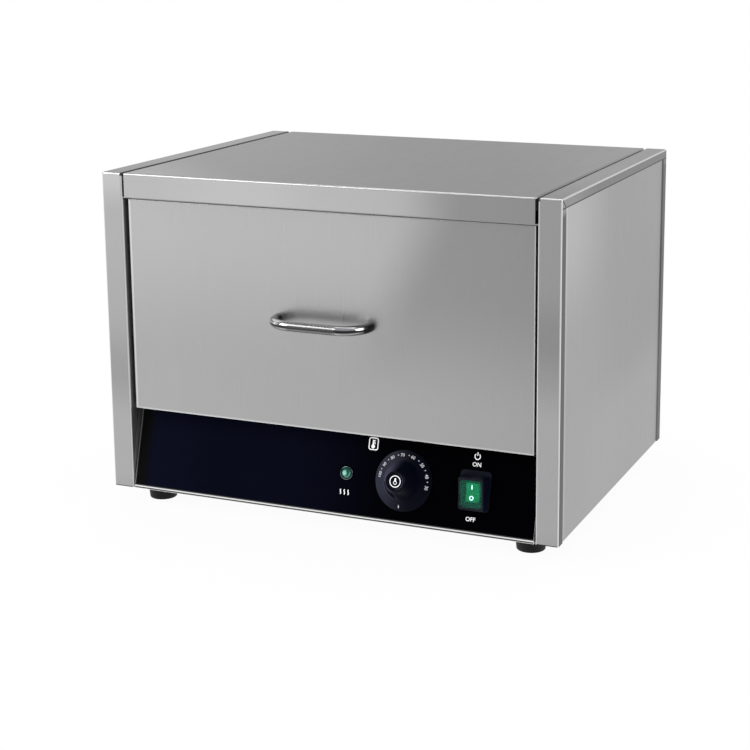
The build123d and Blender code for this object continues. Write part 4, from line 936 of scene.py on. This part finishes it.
NUMBERS = ((30, -9), (40, 16), (50, 43), (60, 71), (70, 97), (80, 122), (90, 147), (100, 172))
NUMBER_RADIUS = 0.0243
NUMBER_HEIGHT = 0.0031
OFF_INNER, OFF_OUTER = 0.0232, 0.0258
grey_ink = moulded("grey ink", (0.80, 0.80, 0.85), 0.5, 1200, 0.1, 0.03)
dial_print = Sheet()
for number, angle in NUMBERS:
    turned = math.radians(angle)
    dial_print.word(str(number), NUMBER_RADIUS * math.cos(turned), NUMBER_RADIUS * math.sin(turned),
                    NUMBER_HEIGHT, turned - math.pi / 2, bold=0.02)
off_angle = math.radians(265)
dial_print.bar(OFF_INNER * math.cos(off_angle), OFF_INNER * math.sin(off_angle),
               OFF_OUTER * math.cos(off_angle), OFF_OUTER * math.sin(off_angle), 0.0009)
dial_print.finish("dial_scale", "dial", grey_ink, dial_point)

dial_print = Sheet()
dial_print.arc(0, 0, 0.0052, 0.0008, steps=48)
dial_print.arc(0, -0.0012, 0.0015, 0.0006)
dial_print.bar(0, 0.0003, 0, 0.0030, 0.0016)
dial_print.finish("dial_sign", "dial", white_ink, dial_point)

# %% Ticks by Geometry Nodes


def tick_tree(material):
    """A tree that sets one tick on each point of an arc, turned to face outward."""
    tree = bpy.data.node_groups.new("dial ticks", "GeometryNodeTree")
    face = tree.interface
    for label, value in (("Radius", 0.0246), ("First Angle", 4.0), ("Last Angle", 159.0),
                         ("Tick Length", 0.0010), ("Tick Width", 0.0009), ("Tick Height", INK)):
        made = face.new_socket(label, in_out="INPUT", socket_type="NodeSocketFloat")
        made.default_value = value
    count = face.new_socket("Count", in_out="INPUT", socket_type="NodeSocketInt")
    count.default_value = 7
    face.new_socket("Geometry", in_out="OUTPUT", socket_type="NodeSocketGeometry")
    given = node(tree, "NodeGroupInput")
    result = node(tree, "NodeGroupOutput")
    line = node(tree, "GeometryNodeMeshLine", mode="OFFSET")
    tree.links.new(given.outputs["Count"], line.inputs["Count"])
    index = node(tree, "GeometryNodeInputIndex")
    last = minus(tree, given.outputs["Count"], 1.0)
    share = math_of(tree, "DIVIDE", index.outputs[0], last)
    sweep = minus(tree, given.outputs["Last Angle"], given.outputs["First Angle"])
    degrees = math_of(tree, "MULTIPLY_ADD", share, sweep, given.outputs["First Angle"])
    angle = math_of(tree, "RADIANS", degrees)
    spot = node(tree, "ShaderNodeCombineXYZ")
    for axis, operation in (("X", "COSINE"), ("Y", "SINE")):
        part = times(tree, math_of(tree, operation, angle), given.outputs["Radius"])
        tree.links.new(part, spot.inputs[axis])
    placed = node(tree, "GeometryNodeSetPosition")
    tree.links.new(line.outputs["Mesh"], placed.inputs["Geometry"])
    tree.links.new(spot.outputs["Vector"], placed.inputs["Position"])
    size = node(tree, "ShaderNodeCombineXYZ")
    for axis, label in (("X", "Tick Length"), ("Y", "Tick Width"), ("Z", "Tick Height")):
        tree.links.new(given.outputs[label], size.inputs[axis])
    tick = node(tree, "GeometryNodeMeshCube")
    tree.links.new(size.outputs["Vector"], tick.inputs["Size"])
    turn_to = node(tree, "ShaderNodeCombineXYZ")
    tree.links.new(angle, turn_to.inputs["Z"])
    copies = node(tree, "GeometryNodeInstanceOnPoints")
    tree.links.new(placed.outputs["Geometry"], copies.inputs["Points"])
    tree.links.new(tick.outputs["Mesh"], copies.inputs["Instance"])
    tree.links.new(turn_to.outputs["Vector"], copies.inputs["Rotation"])
    whole = node(tree, "GeometryNodeRealizeInstances")
    tree.links.new(copies.outputs["Instances"], whole.inputs["Geometry"])
    painted = node(tree, "GeometryNodeSetMaterial")
    painted.inputs["Material"].default_value = material
    tree.links.new(whole.outputs["Geometry"], painted.inputs["Geometry"])
    tree.links.new(painted.outputs["Geometry"], result.inputs["Geometry"])
    return tree


def grow(name, tree, values=None):
    """Runs a tree on an empty mesh and keeps its result as a plain mesh."""
    holder = add_object(name, bpy.data.meshes.new(name))
    modifier = holder.modifiers.new("tree", "NODES")
    modifier.node_group = tree
    names = {s.name: s.identifier for s in tree.interface.items_tree if s.in_out == "INPUT"}
    for label, value in (values or {}).items():
        modifier[names[label]] = value
    made = evaluated_mesh(holder)
    holder.modifiers.clear()
    holder.data = made
    made.name = name
    print(name, len(made.polygons), "faces from the tree")
    return holder


ticks = grow("dial_ticks", tick_tree(grey_ink), {"Count": 7})
for v in ticks.data.vertices:
    v.co = dial_point(v.co.x, v.co.y, v.co.z + INK / 2)
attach(ticks, "dial")

# %% [markdown]
# ## I and O on the rocker
#
# The two signs are printed on the rocker's two faces, and tip with it. At rest the rocker stands tipped
# by ten degrees with its upper half in, so the print is bent onto those two slopes.

# %% Rocker print
ROCKER_PIVOT = -0.001
ROCKER_TOP = 0.0054
ROCKER_VALLEY = 0.0040
ROCKER_HALF = 0.00875
ROCKER_TILT = math.radians(-10.0)


def rocker_point(x, y, out):
    """A point on the rocker, tipped as it is at rest."""
    height = ROCKER_VALLEY + (ROCKER_TOP - ROCKER_VALLEY) * abs(y) / ROCKER_HALF + out + INK_GAP
    high = height - ROCKER_PIVOT
    turned_y = y * math.cos(ROCKER_TILT) - high * math.sin(ROCKER_TILT)
    turned_z = y * math.sin(ROCKER_TILT) + high * math.cos(ROCKER_TILT)
    return switch_point(x, turned_y, turned_z + ROCKER_PIVOT)


rocker_print = Sheet()
rocker_print.bar(0, 0.0028, 0, 0.0070, 0.0010)
rocker_print.arc(0, -0.0052, 0.0017, 0.0008)
rocker_print.finish("rocker_print", "rocker", glowing_print_ink, rocker_point)

# %% [markdown]
# ## Mineral wool
#
# The CAD model holds plain slabs where the wool lies. Real wool has a lumpy, torn surface and slightly
# rounded edges, so each slab is rebuilt from a fine grid whose points move inward by layered noise. It
# only moves inward, so the wool stays inside the space that the slab holds and clear of the sheets. The
# two slabs at the sides share a node and stay plain.

# %% Wool slabs
WOOL_CELL = 0.008
WOOL_DEPTH = 0.0016


def wool_slab(node_name, body):
    """A lumpy slab inside the box of the CAD slab."""
    low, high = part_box(node_name)
    size = high - low
    made = bmesh.new()
    bmesh.ops.create_cube(made, size=1.0)
    for v in made.verts:
        v.co = Vector((low[k] + (v.co[k] + 0.5) * size[k] for k in range(3)))
    for axis in range(3):
        cuts = max(1, min(60, int(size[axis] / WOOL_CELL)))
        for step in range(1, cuts):
            at = Vector(low)
            at[axis] = low[axis] + size[axis] * step / cuts
            direction = Vector((0, 0, 0))
            direction[axis] = 1
            bmesh.ops.bisect_plane(made, geom=list(made.verts) + list(made.edges) + list(made.faces),
                                   plane_co=at, plane_no=direction)
    for v in made.verts:
        lump = noise.fractal(v.co * 90.0, 0.7, 2.2, 4)
        inward = Vector((0, 0, 0))
        for axis in range(3):
            if abs(v.co[axis] - low[axis]) < 1e-6:
                inward[axis] = 1
            elif abs(v.co[axis] - high[axis]) < 1e-6:
                inward[axis] = -1
        v.co += inward * WOOL_DEPTH * (0.55 + 0.45 * max(-1.0, min(1.0, lump)))
    bmesh.ops.recalc_face_normals(made, faces=made.faces)
    mesh = bpy.data.meshes.new(node_name + "_wool")
    made.to_mesh(mesh)
    made.free()
    mesh.materials.append(finishes["mineral_wool"])
    for polygon in mesh.polygons:
        polygon.use_smooth = True
    piece = add_object(node_name + "_wool", mesh)
    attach(piece, body)
    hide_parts(node_name)
    print(piece.name, len(mesh.polygons), "faces")


body_of_node = {name: body for body, members in frame["record"]["behaviour"]["bodies"].items()
                for name in members}
for name, slot_name in slot_of.items():
    if slot_name == "mineral_wool" and name != "side_insulation":
        wool_slab(name, body_of_node[name])

# %% [markdown]
# ## Floor, world and lamps
#
# The photograph is a plain product picture on white. The floor is pale, and nearly all that the camera
# sees of it is plain white, so only a faint shadow stays near the feet. Steel and chrome show what stands
# round them, so the world gives reflections of their own: a white floor, a darker room in front and
# above, and pale sides. Three broad lamps light the object softly.

# %% Floor
SHADOW_NEAR, SHADOW_FAR = 0.22, 0.50
floor_mesh = bpy.data.meshes.new("floor")
floor_mesh.from_pydata([(-8, -8, 0), (8, -8, 0), (8, 8, 0), (-8, 8, 0)], [], [(0, 1, 2, 3)])
floor = add_object("floor", floor_mesh)
floor_paint, floor_tree, floor_shader = new_material("floor", (0.92, 0.92, 0.92), 0.9)
white = node(floor_tree, "ShaderNodeEmission", Strength=1.0)
seen = node(floor_tree, "ShaderNodeLightPath")
floor_x, floor_y, _ = axes_of(floor_tree)
reach = distance_of(floor_tree, floor_x, floor_y)
share = times(floor_tree, seen.outputs["Is Camera Ray"],
              smooth_of(floor_tree, reach, SHADOW_NEAR, SHADOW_FAR, 0.95, 1.0))
floor_out = next(n for n in floor_tree.nodes if n.type == "OUTPUT_MATERIAL")
floor_tree.links.new(mix_shaders(floor_tree, share, floor_shader.outputs[0], white.outputs[0]),
                     floor_out.inputs["Surface"])
floor_mesh.materials.append(floor_paint)
floor.visible_glossy = False
print("floor ready")

# %% World
world = bpy.data.worlds.new("studio")
bpy.context.scene.world = world
world.use_nodes = True
sky = world.node_tree
sky.nodes.clear()
sky_out = node(sky, "ShaderNodeOutputWorld")
path = node(sky, "ShaderNodeLightPath")
toward = node(sky, "ShaderNodeTexCoord")
parts = node(sky, "ShaderNodeSeparateXYZ")
sky.links.new(toward.outputs["Generated"], parts.inputs["Vector"])
x_way, y_way, z_way = parts.outputs
front = smooth_of(sky, y_way, 0.1, -0.5)
above = smooth_of(sky, z_way, -0.02, 0.16)
high = smooth_of(sky, z_way, 0.15, 0.75)
azimuth = math_of(sky, "ARCTAN2", x_way, times(sky, y_way, -1.0))
right_front = smooth_of(sky, azimuth, math.radians(-30), math.radians(-12))
floor_tone = mix_of(sky, times(sky, right_front, front), (1.0, 1.0, 1.0), (0.62, 0.62, 0.62))
room_tone = mix_of(sky, front, (0.95, 0.95, 0.95), (0.10, 0.10, 0.11))
room_tone = mix_of(sky, high, room_tone, (0.30, 0.30, 0.31))
shown = mix_of(sky, above, floor_tone, room_tone)
glossy_light = node(sky, "ShaderNodeBackground")
sky.links.new(shown, glossy_light.inputs["Color"])
plain_light = node(sky, "ShaderNodeBackground", Color=(1, 1, 1, 1), Strength=0.55)
camera_light = node(sky, "ShaderNodeBackground", Color=(1, 1, 1, 1))
mirror_ray = math_of(sky, "MAXIMUM", path.outputs["Is Glossy Ray"], path.outputs["Is Transmission Ray"])
lighting = mix_shaders(sky, mirror_ray, plain_light.outputs[0], glossy_light.outputs[0])
lighting = mix_shaders(sky, path.outputs["Is Camera Ray"], lighting, camera_light.outputs[0])
sky.links.new(lighting, sky_out.inputs["Surface"])
print("world ready")

# %% Lamps


def soft_lamp(name, place, target, size, power):
    """A broad square lamp that looks at a point."""
    data = bpy.data.lights.new(name, "AREA")
    data.shape = "RECTANGLE"
    data.size = size[0]
    data.size_y = size[1]
    data.energy = power
    lamp = add_object(name, data)
    lamp.location = place
    lamp.rotation_euler = (Vector(target) - Vector(place)).to_track_quat("-Z", "Y").to_euler()


soft_lamp("key lamp", (-1.6, -1.7, 1.7), (0, 0, 0.15), (1.4, 1.4), 24)
soft_lamp("right lamp", (2.2, -0.6, 1.2), (0, 0, 0.15), (1.2, 1.6), 14)
soft_lamp("top lamp", (0.0, 0.4, 2.4), (0, 0, 0.2), (2.0, 1.4), 18)
bpy.context.scene.view_settings.view_transform = "Standard"
print("lamps ready")
